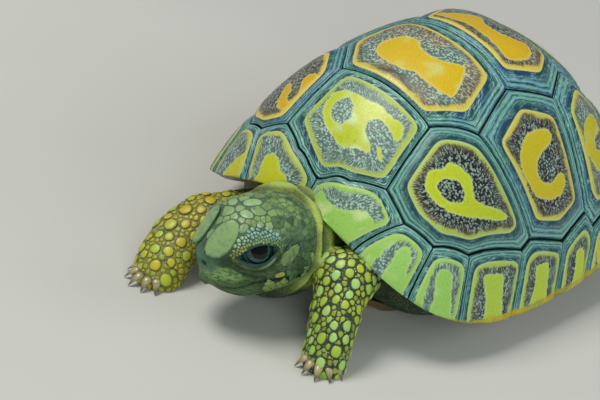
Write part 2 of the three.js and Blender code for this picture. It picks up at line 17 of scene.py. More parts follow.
import bpy  # noqa: E402
import numpy as np  # noqa: E402
from mathutils import Matrix, Vector  # noqa: E402
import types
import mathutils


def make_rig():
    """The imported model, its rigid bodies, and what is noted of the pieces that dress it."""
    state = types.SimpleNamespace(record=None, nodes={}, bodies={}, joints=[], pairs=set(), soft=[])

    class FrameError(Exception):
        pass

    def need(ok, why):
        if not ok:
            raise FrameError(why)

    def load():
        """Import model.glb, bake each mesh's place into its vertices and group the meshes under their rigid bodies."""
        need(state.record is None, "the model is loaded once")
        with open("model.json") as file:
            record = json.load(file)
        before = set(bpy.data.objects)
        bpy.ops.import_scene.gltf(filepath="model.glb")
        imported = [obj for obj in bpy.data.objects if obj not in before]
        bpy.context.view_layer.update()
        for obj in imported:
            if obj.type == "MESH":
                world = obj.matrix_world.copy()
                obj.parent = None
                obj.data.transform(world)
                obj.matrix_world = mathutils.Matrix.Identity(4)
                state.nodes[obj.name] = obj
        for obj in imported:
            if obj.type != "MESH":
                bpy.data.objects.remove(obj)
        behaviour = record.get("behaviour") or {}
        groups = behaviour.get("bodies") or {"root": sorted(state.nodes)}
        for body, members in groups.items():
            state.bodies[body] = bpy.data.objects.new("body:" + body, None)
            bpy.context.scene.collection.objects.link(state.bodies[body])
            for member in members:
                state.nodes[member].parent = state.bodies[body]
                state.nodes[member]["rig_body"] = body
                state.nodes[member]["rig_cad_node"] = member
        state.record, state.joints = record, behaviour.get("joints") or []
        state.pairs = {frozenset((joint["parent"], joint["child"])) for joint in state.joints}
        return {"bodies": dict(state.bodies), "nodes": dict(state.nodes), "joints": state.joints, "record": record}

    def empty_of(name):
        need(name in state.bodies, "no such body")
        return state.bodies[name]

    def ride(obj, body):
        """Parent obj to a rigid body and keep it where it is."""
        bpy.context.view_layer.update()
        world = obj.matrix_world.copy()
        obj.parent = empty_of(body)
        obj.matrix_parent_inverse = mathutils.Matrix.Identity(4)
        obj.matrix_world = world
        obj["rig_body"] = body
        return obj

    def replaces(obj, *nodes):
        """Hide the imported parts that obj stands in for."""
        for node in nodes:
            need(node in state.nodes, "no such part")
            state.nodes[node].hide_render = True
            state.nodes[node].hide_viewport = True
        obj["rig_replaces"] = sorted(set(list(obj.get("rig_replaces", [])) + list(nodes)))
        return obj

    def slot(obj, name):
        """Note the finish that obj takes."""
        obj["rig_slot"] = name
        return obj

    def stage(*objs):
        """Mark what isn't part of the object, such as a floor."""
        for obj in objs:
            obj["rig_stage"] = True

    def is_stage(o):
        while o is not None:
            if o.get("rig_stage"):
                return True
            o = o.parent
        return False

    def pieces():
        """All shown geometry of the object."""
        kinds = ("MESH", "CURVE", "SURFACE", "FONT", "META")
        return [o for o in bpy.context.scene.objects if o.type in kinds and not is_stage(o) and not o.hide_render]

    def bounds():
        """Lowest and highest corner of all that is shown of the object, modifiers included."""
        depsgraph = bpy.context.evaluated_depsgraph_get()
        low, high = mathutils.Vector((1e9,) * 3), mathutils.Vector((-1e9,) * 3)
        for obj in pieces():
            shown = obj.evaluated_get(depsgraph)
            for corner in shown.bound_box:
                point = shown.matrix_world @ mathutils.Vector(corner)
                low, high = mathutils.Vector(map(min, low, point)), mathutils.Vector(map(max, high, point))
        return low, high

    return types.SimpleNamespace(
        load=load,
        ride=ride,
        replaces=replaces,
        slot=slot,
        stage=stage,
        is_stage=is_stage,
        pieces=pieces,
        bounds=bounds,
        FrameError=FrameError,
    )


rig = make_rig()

LOG = logging.getLogger("tortoise")
METRES = 0.001  # metres in a millimetre
SIZE_FILE = "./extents.json"
Array = np.ndarray
Finish = bpy.types.Material


# ---- small mathematics -----------------------------------------------------------------------
def ease(low: float, high: float, value: Array) -> Array:
    """0 below `low`, 1 above `high` and an S-curve between."""
    t = np.clip((value - low) / (high - low), 0.0, 1.0)
    return t * t * (3 - 2 * t)


def bell(value: Array, centre: float = 0.0, width: float = 1.0) -> Array:
    """exp(-((value - centre) / width)^2)."""
    return np.exp(-(((value - centre) / width) ** 2))


def unit(vectors: Array) -> Array:
    """The vectors at length 1."""
    return vectors / np.maximum(np.linalg.norm(vectors, axis=-1, keepdims=True), 1e-9)


def dot(first: Array, second: Array) -> Array:
    """Row-by-row dot product."""
    return (first * second).sum(axis=-1)


def soft_min(first: Array, second: Array, reach: float) -> Array:
    """The smaller of two distances, with the crease rounded over `reach`."""
    near = np.maximum(reach - np.abs(first - second), 0) / reach
    return np.minimum(first, second) - near * near * reach / 4


def soft_max(first: Array, second: Array, reach: float) -> Array:
    """The larger of two distances, with the crease rounded over `reach`."""
    return -soft_min(-first, -second, reach)


def spline(stations: Array, count: int) -> Array:
    """Points on the Catmull-Rom curve through rows of numbers, ends repeated."""
    rows = np.vstack([2 * stations[:1] - stations[1:2], stations, 2 * stations[-1:] - stations[-2:-1]])
    at = np.linspace(0, len(stations) - 1 - 1e-6, count)
    i = at.astype(int)
    t = (at - i)[:, None]
    a, b, c, d = rows[i], rows[i + 1], rows[i + 2], rows[i + 3]
    return 0.5 * (
        2 * b + (c - a) * t + (2 * a - 5 * b + 4 * c - d) * t**2 + (3 * b - a - 3 * c + d) * t**3
    )


# ---- meshes ----------------------------------------------------------------------------------
@dataclass
class Piece:
    """A closed mesh in millimetres, with its values and maps, before it becomes an object.

    `faces` holds arrays of corner numbers, one array for each face size; `values` holds one
    number a vertex for the shader; `maps` holds, for each UV map, one place a face corner.
    """

    name: str
    points: Array
    faces: list[Array]
    values: dict[str, Array] = field(default_factory=dict)
    maps: dict[str, Array] = field(default_factory=dict)

    def build(self, finish: Finish, slot: str, stands_for: Sequence[str] = ()) -> bpy.types.Object:
        """Makes the object, gives it its finish and lists it with the frame.

        Args:
            finish: its material.
            slot: the record's material slot that it takes.
            stands_for: the CAD nodes that it replaces.

        Returns:
            The object, at the origin, with its place in its mesh.
        """
        mesh = bpy.data.meshes.new(self.name)
        corners = np.concatenate([f.ravel() for f in self.faces]).astype(np.int32)
        sizes = np.concatenate([np.full(len(f), f.shape[1]) for f in self.faces])
        starts = np.concatenate([[0], np.cumsum(sizes)[:-1]]).astype(np.int32)
        spots = (self.points * METRES).astype(np.float32).ravel()
        for part, count, key, numbers in (
            (mesh.vertices, len(self.points), "co", spots),
            (mesh.loops, len(corners), "vertex_index", corners),
            (mesh.polygons, len(sizes), "loop_start", starts)
        ):
            part.add(count)
            part.foreach_set(key, numbers)
        mesh.polygons.foreach_set("use_smooth", np.ones(len(sizes), dtype=bool))
        for name, places in self.maps.items():
            layer = mesh.uv_layers.new(name=name)
            layer.uv.foreach_set("vector", places.astype(np.float32).ravel())
        for name, numbers in self.values.items():
            layer = mesh.attributes.new(name, "FLOAT", "POINT")
            layer.data.foreach_set("value", numbers.astype(np.float32))
        mesh.update(calc_edges=True)
        mesh.materials.append(finish)
        thing = bpy.data.objects.new(self.name, mesh)
        bpy.context.scene.collection.objects.link(thing)
        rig.ride(thing, "root")
        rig.slot(thing, slot)
        if stands_for:
            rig.replaces(thing, *stands_for)
        LOG.info("%s: %d faces", self.name, len(sizes))
        return thing


def ring_faces(rings: int, around: int) -> Array:
    """Quads between `rings` closed rings of `around` vertices, numbered ring by ring."""
    ring = np.arange(rings - 1)[:, None] * around
    here = np.arange(around)[None, :]
    after = (here + 1) % around
    return np.stack(
        [ring + here, ring + after, ring + around + after, ring + around + here], axis=-1
    ).reshape(-1, 4)


def fan_faces(first: int, around: int, pole: int, flip: bool) -> Array:
    """Triangles from a closed ring that starts at vertex `first` to a pole."""
    here = first + np.arange(around)
    after = first + (np.arange(around) + 1) % around
    tip = np.full(around, pole)
    return np.stack([after, here, tip] if flip else [here, after, tip], axis=-1)


def capped(rings: int, around: int) -> tuple[Array, Array]:
    """Quads and triangles of stacked rings closed by two poles, which are numbered last."""
    last, pole = (rings - 1) * around, rings * around
    fans = [fan_faces(0, around, pole, True), fan_faces(last, around, pole + 1, False)]
    return ring_faces(rings, around), np.concatenate(fans)


def volume_of(points: Array, quads: Array) -> float:
    """Six times the signed volume that the quads sweep from the origin, for their facing."""
    a, b, c, d = (points[quads[:, i]] for i in range(4))
    return float((dot(a, np.cross(b, c)) + dot(a, np.cross(c, d))).sum())


# ---- materials -------------------------------------------------------------------------------
def linear(code: str) -> tuple[float, float, float, float]:
    """A hex sRGB colour as the linear colour that a node takes."""
    parts = [int(code[i : i + 2], 16) / 255 for i in (1, 3, 5)]
    red, green, blue = (p / 12.92 if p <= 0.04045 else ((p + 0.055) / 1.055) ** 2.4 for p in parts)
    return (red, green, blue, 1.0)


# Short names: the node's type, what its plain arguments fill in order, its output, its settings.
NODES: dict[str, tuple] = {
    "value": ("Attribute", ("attribute_name",), "Fac", {}),
    "ease": ("MapRange", ("Value", "From Min", "From Max"), 0, {"interpolation_type": "SMOOTHSTEP"}),
    "blend": ("Mix", (0, 6, 7), 2, {"data_type": "RGBA"}),
    "grain": ("TexNoise", ("Scale", "Detail", "Roughness"), 0, {}),
    "cells": ("TexVoronoi", ("Scale",), 0, {}),
}


def per(size: float) -> float:
    """The texture scale that makes its lumps `size` millimetres across."""
    return 1 / (size * METRES)


@dataclass(frozen=True)
class Signal:
    """A node's output. Arithmetic on it adds the nodes that work it out."""

    graph: "Graph"
    socket: bpy.types.NodeSocket

    def __add__(self, other: "Signal | float") -> "Signal":
        """This plus the other."""
        return self.graph.add("ADD", self, other)

    def __sub__(self, other: "Signal | float") -> "Signal":
        """This less the other."""
        return self.graph.add("SUBTRACT", self, other)

    def __rsub__(self, other: float) -> "Signal":
        """The other less this."""
        return self.graph.add("SUBTRACT", other, self)

    def __mul__(self, other: "Signal | float") -> "Signal":
        """This times the other."""
        return self.graph.add("MULTIPLY", self, other)


@dataclass
class Graph:
    """A material's nodes. `add` is the one way that a node is made."""

    material: Finish
    place: Signal | None = None  # Object coordinates, which every texture reads

    @classmethod
    def named(cls, name: str) -> "Graph":
        """A new material of that name with an empty graph."""
        material = bpy.data.materials.new(name)
        material.use_nodes = True
        material.node_tree.nodes.clear()
        graph = cls(material)
        graph.place = graph.add("TexCoord", out="Object")
        return graph

    def add(self, kind: str, *values, out: int | str | None = None, **named) -> Signal | None:
        """Adds a node with its settings and links.

        Args:
            kind: a short name, a step of arithmetic, or the type without "ShaderNode".
            *values: numbers, hex colours or sockets, in the short name's order.
            out: which output is wanted.
            **named: inputs and properties by their names.

        Returns:
            The wanted output, or nothing where the node has none.
        """
        plain = ("Math", (0, 1, 2), 0, {"operation": kind}) if kind.isupper() else (kind, (), 0, {})
        kind, order, usual, settings = NODES.get(kind, plain)
        tree = self.material.node_tree
        made = tree.nodes.new("ShaderNode" + kind)
        given = dict(zip(order, values)) | settings | named
        if kind in ("TexNoise", "TexVoronoi"):
            given.setdefault("Vector", self.place)
        for key, value in given.items():
            if isinstance(key, str) and hasattr(made, key):
                setattr(made, key, value)
            elif isinstance(value, Signal):
                tree.links.new(value.socket, made.inputs[key])
            else:
                made.inputs[key].default_value = linear(value) if isinstance(value, str) else value
        return Signal(self, made.outputs[usual if out is None else out]) if made.outputs else None

    def finish(self, surface: dict, bumps: Sequence[tuple] = ()) -> Finish:
        """Ends the graph in one Principled surface.

        Args:
            surface: inputs of the Principled node.
            bumps: (height socket, depth in millimetres) pairs, coarse first.

        Returns:
            The material.
        """
        for height, depth in bumps:
            below = {"Normal": surface["Normal"]} if "Normal" in surface else {}
            normal = self.add("Bump", Height=height, Strength=1.0, Distance=depth * METRES, **below)
            surface = surface | {"Normal": normal}
        self.add("OutputMaterial", Surface=self.add("BsdfPrincipled", **surface))
        return self.material


@dataclass(frozen=True)
class ScuteFinish:
    """Keratin plate of a growing shell: semi-matt, ridged in its growth zone, granular within.

    Pigment lies in three bands. The birth plate has a pale rim, a dark granular band with a painted highlight on each
    granule's top, and a yellow heart; the new growth round it is blue-green with fine dark grooves, its blue partly
    painted sheen and its pale patches partly painted highlight.
    """

    name: str = "keratin_scute_growth_ringed"
    lime: str = "#b3bf22"
    orange: str = "#d0a614"
    green: str = "#93c25c"
    milky: str = "#c0d492"
    rim_cool: str = "#a5b556"
    rim_warm: str = "#cfb84c"
    line: str = "#5d4a26"
    pale_base: str = "#5a6d66"
    # the pale colours on the granules' tops are painted highlights
    pale_fleck: str = "#a3c2b2"
    dark_base: str = "#1c1f20"
    dark_brown: str = "#36281e"
    dark_fleck: str = "#9eb0a4"
    tan_base: str = "#7d7460"
    tan_fleck: str = "#c9bea0"
    growth_deep: str = "#17404a"
    # the navy and blue growth colours are painted sheen, laid on in cloudy patches
    growth_navy: str = "#1d3d5e"
    growth: str = "#588a80"
    growth_blue: str = "#4b7c95"
    # the pale growth colour is partly pale keratin and partly painted wet highlight
    growth_pale: str = "#9fcdc4"
    ridge: str = "#82b5a8"
    groove: str = "#0b2228"
    lip_pale: str = "#8f9136"
    lip_gold: str = "#b3a01e"
    ridges: float = 4.0  # ridges that would fit in the whole growth zone; the outer three are drawn

    @staticmethod
    def _rings(g: Graph, along: float, out: float) -> Signal:
        """Place on the plate, by a size along its outline and one across it, in millimetres."""
        return g.add("Mapping", Vector=g.add("UVMap", uv_map="Rings"), Scale=(1 / along, 1 / out, 1.0))

    def _round(self, g: Graph, along: float, out: float, detail: float = 2.0) -> Signal:
        """Noise that follows the plate's outline."""
        return g.add("grain", 1.0, detail, 0.55, Vector=self._rings(g, along, out))

    def _beads(self, g: Graph, edge) -> Signal:
        """Granules: 1 on a granule's top, 0 between; drawn out towards the birth plate's border."""
        bent = g.add(
            "blend", 0.12, self._rings(g, 0.3, 0.62), g.add("grain", per(0.5), 2.0, out="Color"),
            blend_type="ADD"
        )
        long = g.add("cells", 1.0, Vector=bent)
        even = g.add("cells", per(0.4))
        inner = g.add("ease", edge, 1.3, 2.6)
        apart = even * inner + long * (1.0 - inner)
        return g.add("ease", apart, 0.72, 0.2)

    def _within(self, g: Graph, bead, warm, dark, cloud) -> tuple:
        """The birth plate: its band, its yellow heart and its rim, and the share of the heart."""
        edge = g.add("value", "edge")
        teeth = self._round(g, 0.26, 1.5) - 0.5
        ragged = g.add("grain", per(0.9), 3.0, 0.6) - 0.5
        # fleck: a painted highlight on each granule's top, stronger in the bright patches
        bright = g.add("ease", g.add("grain", per(0.8), 2.0, 0.6), 0.34, 0.6)
        fleck = g.add("ease", bead, 0.15, 0.75) * (bright * 0.6 + 0.4)
        sandy = g.add("ease", warm, 0.3, 0.9) * g.add("ease", g.add("grain", per(6.0), 1.0), 0.42, 0.56)
        pale = g.add(
            "blend", fleck, g.add("blend", sandy, self.pale_base, self.tan_base),
            g.add("blend", sandy, self.pale_fleck, self.tan_fleck)
        )
        deep = g.add("blend", warm * g.add("ease", cloud, 0.35, 0.6), self.dark_base, self.dark_brown)
        deep = g.add("blend", fleck * 0.8, deep, self.dark_fleck)
        shade = (cloud - 0.5) * 0.9 + dark
        band = g.add("blend", g.add("ease", shade, 0.0, 0.9), pale, deep)
        inner = teeth * 0.9 + edge
        much = dark * 0.7 + 0.1 + g.add("ease", warm, 0.3, 1.0) * 0.5
        brown = g.add("ease", inner, 1.8, 0.8) * much
        band = g.add("blend", brown * (fleck * -0.65 + 1.0), band, self.line)
        yellow = g.add("blend", g.add("ease", warm, 0.0, 1.0), self.lime, self.orange)
        yellow = g.add("blend", g.add("ease", warm, 0.0, -1.0), yellow, self.green)
        milky = g.add("ease", cloud, 0.5, 0.72) * (0.6 - dark)
        yellow = g.add("blend", g.add("ease", milky, 0.0, 0.8), yellow, self.milky)
        crack = g.add("cells", per(0.55), feature="DISTANCE_TO_EDGE")
        yellow = g.add("blend", g.add("ease", crack, 0.07, 0.0) * 0.22, yellow, self.line)
        depth = ragged * 0.9 + g.add("value", "mark")
        yellow = g.add("blend", g.add("ease", depth, 0.5, 0.0) * 0.4, yellow, self.milky)
        heart = g.add("ease", depth, -0.14, 0.14)
        within = g.add("blend", heart, band, yellow)
        rim = g.add("blend", g.add("ease", warm, 0.0, 0.9), self.rim_cool, self.rim_warm)
        rim = g.add("blend", g.add("ease", warm, 0.0, -1.0) * 0.75, rim, self.green)
        rim = g.add("blend", g.add("ease", edge, 0.5, 0.0) * 0.3, rim, self.milky)
        worn = g.add("ease", self._round(g, 6.0, 3.0, 1.0), 0.42, 0.6) * -0.3 + edge
        on_rim = g.add("ease", teeth * 1.1 + worn, 0.86, 0.36)
        return g.add("blend", on_rim, within, rim), heart

    def _zone(self, g: Graph, warm, dark, cloud, streak) -> Signal:
        """The growth zone: dark beside the birth plate, then pale ridges and dark grooves; painted blue sheen in
        cloudy patches, and pale patches that are partly painted highlight.
        """
        slow = self._round(g, 5.0, 2.5) - 0.5
        fine = self._round(g, 0.8, 0.9) - 0.5
        growth = slow * 0.2 + g.add("value", "growth")
        growth = fine * 0.07 + growth
        teeth = self._round(g, 0.3, 1.2)
        cool = g.add("ease", warm, 0.0, 1.0)
        # cloudy patches of painted blue sheen over the growth zone
        blue_sheen = g.add("ease", cloud, 0.4, 0.62) * (cool * 0.75 + 0.15)
        deep = g.add("blend", blue_sheen, self.growth_deep, self.growth_navy)
        light = g.add("blend", blue_sheen, self.growth, self.growth_blue)
        worn = (teeth - 0.5) * 0.4 + growth
        share = g.add("ease", worn, 0.2, 0.48) * g.add("ease", streak, 0.26, 0.5)
        zone = g.add("blend", share, deep, light)
        # pale patches along the streaks: partly pale keratin, partly painted wet highlight
        patch = g.add("ease", streak, 0.42, 0.66) * g.add("ease", self._round(g, 3.4, 1.2), 0.43, 0.58)
        patch = patch * (dark * -0.75 + 0.95)
        zone = g.add("blend", patch, zone, self.growth_pale)
        wave = g.add("SINE", growth * (2 * math.pi * self.ridges))
        outer = g.add("ease", growth, 0.3, 0.45)
        shown = g.add("ease", self._round(g, 2.2, 0.8), 0.3, 0.56)
        crest = g.add("ease", wave, 0.1, 0.95) * (outer * 0.65)
        zone = g.add("blend", crest, zone, self.ridge)
        cut = g.add("ease", wave, -0.72, -1.0) * outer
        zone = g.add("blend", cut * (shown * 0.7 + 0.25), zone, self.groove)
        return g.add("blend", g.add("ease", g.add("value", "growth"), 0.965, 0.995), zone, self.groove)

    def material(self) -> Finish:
        """The plates' material."""
        g = Graph.named(self.name)
        edge, warm, dark = g.add("value", "edge"), g.add("value", "warm"), g.add("value", "dark")
        cloud = g.add("grain", per(4.2), 1.0)
        bead = self._beads(g, edge)
        streak = self._round(g, 1.3, 0.16, 3.0)
        within, heart = self._within(g, bead, warm, dark, cloud)
        zone = self._zone(g, warm, dark, cloud, streak)
        colour = g.add("blend", g.add("ease", edge, -0.09, 0.05), zone, within)
        lip = g.add("blend", g.add("ease", cloud, 0.36, 0.6), self.lip_pale, self.lip_gold)
        colour = g.add("blend", g.add("value", "lip"), colour, lip)
        raised = g.add("ease", edge, 0.1, 0.6) * g.add("ease", heart, 1.0, 0.12)
        return g.finish(
            {
                "Base Color": colour, "Roughness": g.add("grain", per(0.34), 1.5, 0.6) * 0.3 + 0.24,
                "IOR": 1.48, "Coat Weight": 0.1, "Coat Roughness": 0.25
            },
            [(streak, 0.03), (bead * raised, 0.06)]
        )


@dataclass(frozen=True)
class SkinFinish:
    """Tortoise skin between the scales: matt, finely pebbled, with painted shade in its creases and low on the head.
    """

    head: str = "#4a6448"
    # the cheek colour is painted shade for the lower head and the wrinkles' troughs
    cheek: str = "#2d4225"
    olive: str = "#4a6030"
    leg: str = "#303b2e"
    leg_grain: str = "#b4c4b6"
    leg_sunny: str = "#7d7630"
    fold: str = "#a0b254"
    hollow: str = "#56662f"
    beak: str = "#7fa25a"
    beak_line: str = "#456440"
    snout: str = "#4b6d5a"
    # shade: dark colour for the painted shade in creases, also used for the skin's random dark mottle
    shade: str = "#151f19"
    lid: str = "#27443f"
    lid_rim: str = "#8fae86"

    def material(self) -> Finish:
        """The skin's material."""
        g = Graph.named("tortoise_skin_pebbled")
        pebble = g.add("cells", per(0.38))
        mottle = g.add("grain", per(1.6), 3.0, 0.6)
        neck = g.add("blend", g.add("ease", mottle, 0.4, 0.66), self.hollow, self.leg)
        pale = g.add("ease", pebble, 0.36, 0.14) * g.add("ease", g.add("grain", per(0.9), 2.0), 0.44, 0.56)
        leg = g.add("blend", g.add("ease", pebble, 0.5, 0.2), self.leg, neck)
        leg = g.add(
            "blend", g.add("value", "sunny"), leg,
            g.add("blend", g.add("ease", mottle, 0.5, 0.7), self.leg_sunny, self.hollow)
        )
        leg = g.add("blend", pale * g.add("value", "speck"), leg, self.leg_grain)
        # the head's skin turns to the cheek colour low on its sides: painted shade
        colour = g.add(
            "blend", g.add("value", "head"), leg,
            g.add("blend", g.add("value", "cheek"), self.head, self.cheek)
        )
        colour = g.add("blend", g.add("ease", mottle, 0.45, 0.7) * 0.4, colour, self.shade)
        wrinkled = g.add("blend", g.add("ease", mottle, 0.5, 0.7) * 0.5, self.fold, self.hollow)
        colour = g.add("blend", g.add("value", "fold"), colour, wrinkled)
        lengthwise = (0.0, 0.0, math.radians(-14))
        turned = g.add("Mapping", Vector=g.place, Rotation=lengthwise, Scale=(1.4, 0.4, 2.2))
        stria = g.add("grain", per(0.75), 4.0, 0.62, Vector=turned)
        # the wrinkles' troughs, where the fine striae dip, take the cheek colour: painted shade
        folds = g.add("blend", g.add("ease", stria, 0.42, 0.58), self.cheek, self.olive)
        colour = g.add("blend", g.add("value", "wrinkle"), colour, folds)
        beak = g.add("blend", g.add("ease", stria, 0.42, 0.56), self.beak_line, self.beak)
        beak = g.add("blend", g.add("ease", mottle, 0.55, 0.72) * 0.4, beak, self.snout)
        colour = g.add("blend", g.add("value", "beak"), colour, beak)
        colour = g.add(
            "blend", g.add("value", "snout"), colour,
            g.add("blend", g.add("ease", mottle, 0.4, 0.65), self.snout, self.beak_line)
        )
        # painted shade in the mouth line, nostrils, creases and lid folds, from the deep value
        colour = g.add("blend", g.add("value", "deep"), colour, self.shade)
        colour = g.add("blend", g.add("value", "lid"), colour, self.lid)
        colour = g.add("blend", g.add("value", "rim"), colour, self.lid_rim)
        smooth = g.add("MAXIMUM", g.add("value", "beak"), g.add("value", "wrinkle"))
        return g.finish(
            {
                "Base Color": colour,
                "Roughness": g.add("MAXIMUM", smooth, g.add("value", "lid")) * -0.2 + 0.58, "IOR": 1.45
            },
            [(stria, 0.06), (pebble * (1.0 - smooth), 0.09)]
        )


@dataclass(frozen=True)
class ScaleFinish:
    """Horny scale: satin keratin, blotched, darker at its foot."""

    name: str
    cool: str = "#759560"
    warm: str = "#7f9147"
    gold: str = "#b4a023"
    foot: str = "#4c6b55"
    dark: str = "#33492d"
    blot: str = "#3b5558"
    pale: str = "#a3c48e"
    rough: float = 0.42
    blotted: float = 0.8
    foot_from: float = 0.74  # where on the way to its edge a scale begins to darken

    def material(self) -> Finish:
        """The scales' material."""
        g = Graph.named(self.name)
        tone, share, gold = g.add("value", "tone"), g.add("value", "share"), g.add("value", "gold")
        colour = g.add("blend", tone, self.cool, self.warm)
        colour = g.add("blend", gold, colour, self.gold)
        colour = g.add("blend", g.add("value", "pale"), colour, self.pale)
        much = g.add("value", "dusk") * (1.5 * self.blotted) + 0.25 * self.blotted
        blots = g.add("ease", g.add("grain", per(0.9), 3.0, 0.6), 0.5, 0.6) * much
        colour = g.add("blend", blots, colour, self.blot)
        colour = g.add("blend", g.add("value", "dusk"), colour, self.dark)
        worn = (g.add("grain", per(0.3), 2.0) - 0.5) * 0.25 + share
        colour = g.add("blend", g.add("ease", worn, self.foot_from, 1.0), colour, self.foot)
        return g.finish(
            {"Base Color": colour, "Roughness": self.rough, "IOR": 1.5},
            [(g.add("grain", per(0.22), 2.0), 0.025)]
        )



# ---- the shell's form ------------------------------------------------------------------------
Corner = tuple[float, float] | float  # a place in plan, or an angle on the rim in degrees


@dataclass(frozen=True)
class ShellForm:
    """The carapace as a height over the plan, and the plastron's sole under it."""

    front: float = 31.6
    rear: float = 37.0
    half_width: float = 28.4
    top: float = 38.5
    plan_power: float = 2.8
    dome_power: float = 2.27
    flank_power: float = 0.855
    front_rim: float = 18.0
    side_rim: float = 4.6
    arch_power: float = 3.8
    hip_rise: float = 3.6
    tail_rise: float = 2.4
    nuchal_notch: float = 2.0
    flare: float = 0.9
    sway: float = 0.9
    flat_front: float = -17.0
    flat_rear: float = 21.0
    flat_side: float = 15.5

    def rim_radius(self, angle: Array) -> Array:
        """Superellipse radius at an angle from the front, less the notch over the neck."""
        sine, cosine = np.abs(np.sin(np.radians(angle))), np.cos(np.radians(angle))
        reach = np.where(cosine > 0, self.front, self.rear)
        power = self.plan_power
        whole = (sine / self.half_width) ** power + (np.abs(cosine) / reach) ** power
        shaped = self.flare * bell(np.abs(angle), 46, 17) - self.nuchal_notch * bell(angle, 0, 7)
        return whole ** (-1 / power) + shaped

    def rim_height(self, angle: Array) -> Array:
        """Height of the rim: arched over the neck, low at the bridge, lifted over the hips."""
        away = np.abs(angle)
        arch = np.maximum(np.cos(np.radians(angle)), 0) ** self.arch_power
        return (
            self.side_rim + (self.front_rim - self.side_rim) * arch + self.hip_rise * bell(away, 140, 20)
            + self.tail_rise * bell(away, 180, 18)
        )

    def share(self, plan: Array) -> Array:
        """How far out a place in plan is, as a share of the way to the rim."""
        return np.linalg.norm(plan, axis=-1) / self.rim_radius(self.angle(plan))

    def swayed(self, corner: "Corner") -> "Corner":
        """A corner moved to the animal's left: fully at the crown, not at all on the rim."""
        if not isinstance(corner, tuple):
            return corner
        share = float(self.share(np.array(corner, dtype=float)))
        return (corner[0] + self.sway * (1 - min(share, 1) ** 4), corner[1])

    @staticmethod
    def angle(plan: Array) -> Array:
        """Degrees from the front, positive towards the animal's left."""
        return np.degrees(np.arctan2(plan[..., 0], -plan[..., 1]))

    def at(self, angle: Array, share: Array) -> Array:
        """The place in plan at an angle and a share of the way to the rim."""
        reach = self.rim_radius((angle + 180) % 360 - 180) * share
        turn = np.radians(angle)
        return np.stack([reach * np.sin(turn), -reach * np.cos(turn)], axis=-1)

    def height(self, plan: Array) -> Array:
        """rim + (top - rim) (1 - form^dome_power)^flank_power; the notch bends only the rim."""
        angle = self.angle(plan)
        share = np.minimum(self.share(plan), 1)
        radius = self.rim_radius(angle)
        plain = share * radius / (radius + self.nuchal_notch * bell(angle, 0, 7))
        form = plain + (share - plain) * ease(0.75, 1.0, share)
        rim = self.rim_height(angle)
        return rim + (self.top - rim) * (1 - form**self.dome_power) ** self.flank_power

    def sole(self, plan: Array) -> Array:
        """Height of the plastron's sole: flat, rising at throat, tail and bridge."""
        throat = 3.2 * (np.maximum(self.flat_front - plan[..., 1], 0) / 11) ** 2
        tail = 1.8 * (np.maximum(plan[..., 1] - self.flat_rear, 0) / 10) ** 2
        bridge = 3.4 * (np.maximum(np.abs(plan[..., 0]) - self.flat_side, 0) / 9) ** 1.5
        return throat + tail + bridge

    def lift(self, plan: Array) -> tuple[Array, Array]:
        """Points on the carapace and their outward normals, taken just inside the rim."""
        inward = np.minimum(0.975 / np.maximum(self.share(plan), 1e-6), 1)[..., None]
        return self._raise(self.height, plan, plan * inward, 1)

    def lift_sole(self, plan: Array) -> tuple[Array, Array]:
        """Points on the plastron and their downward normals."""
        return self._raise(self.sole, plan, plan, -1)

    @staticmethod
    def _raise(height: Callable, plan: Array, sampled: Array, facing: int) -> tuple[Array, Array]:
        """Points at a height over the plan, and normals from its slopes.

        Args:
            height: gives the height over a plan.
            plan: the points' places in plan.
            sampled: where the slopes are taken.
            facing: 1 up, -1 down.

        Returns:
            The points, and their unit normals (-slope x, -slope y, 1).
        """
        step = 0.05
        along_x, along_y = np.array([step, 0]), np.array([0, step])
        slope_x = (height(sampled + along_x) - height(sampled - along_x)) / (2 * step)
        slope_y = (height(sampled + along_y) - height(sampled - along_y)) / (2 * step)
        normal = unit(np.stack([-slope_x, -slope_y, np.ones_like(slope_x)], axis=-1)) * facing
        return np.concatenate([plan, height(plan)[..., None]], axis=-1), normal


SHELL = ShellForm()

# Where seams meet on the animal's left, in plan.
SEAM: dict[str, tuple[float, float]] = {
    "neck": (0, -28.4), "v1m1": (5.4, -27.8), "v1c1": (10.6, -25.3), "v12": (9.4, -16.5),
    "c12v2": (14.2, -9.8), "v23": (10.8, -0.1), "c23v3": (13.6, 9.4), "v34": (9.6, 15.6),
    "c34v4": (12, 21.5), "v45": (7.2, 26.4), "m12": (15.2, -25.2), "m23": (19.7, -22.6),
    "m34": (22.9, -17.2), "m45": (24.9, -5.8), "c12": (24.5, -3.6), "m56": (25.6, 4.4), "c23": (24.3, 11),
    "m67": (25.4, 12.9), "m78": (24, 19.2), "c34": (22.8, 21.8), "m89": (20.8, 25), "m910": (17, 28.4),
    "m1011": (13, 30.6), "c4v5": (9.4, 31.8), "tail": (5, 32.8)
}
RIM_ANGLES = (0, 20.6, 37.4, 52.3, 72.4, 94, 109.5, 125, 138, 150, 161.5, 172.5, 187.5)
VERTEBRALS = (
    ("neck", "v1m1", "v1c1", "v12"), ("v12", "c12v2", "v23"), ("v23", "c23v3", "v34"),
    ("v34", "c34v4", "v45"), ("v45", "c4v5", "tail")
)
COSTALS = (
    ("v1c1", "m12", "m23", "m34", "m45", "c12", "c12v2", "v12"),
    ("c12", "m56", "c23", "c23v3", "v23", "c12v2"), ("c23", "m67", "m78", "c34", "c34v4", "v34", "c23v3"),
    ("c34", "m89", "m910", "m1011", "c4v5", "v45", "c34v4")
)
MARGINALS = (
    ("m12", "v1c1", "v1m1", "neck"), ("m23", "m12"), ("m34", "m23"), ("m45", "m34"),
    ("m56", "c12", "m45"), ("m67", "c23", "m56"), ("m78", "m67"), ("m89", "c34", "m78"), ("m910", "m89"),
    ("m1011", "m910"), ("tail", "c4v5", "m1011")
)
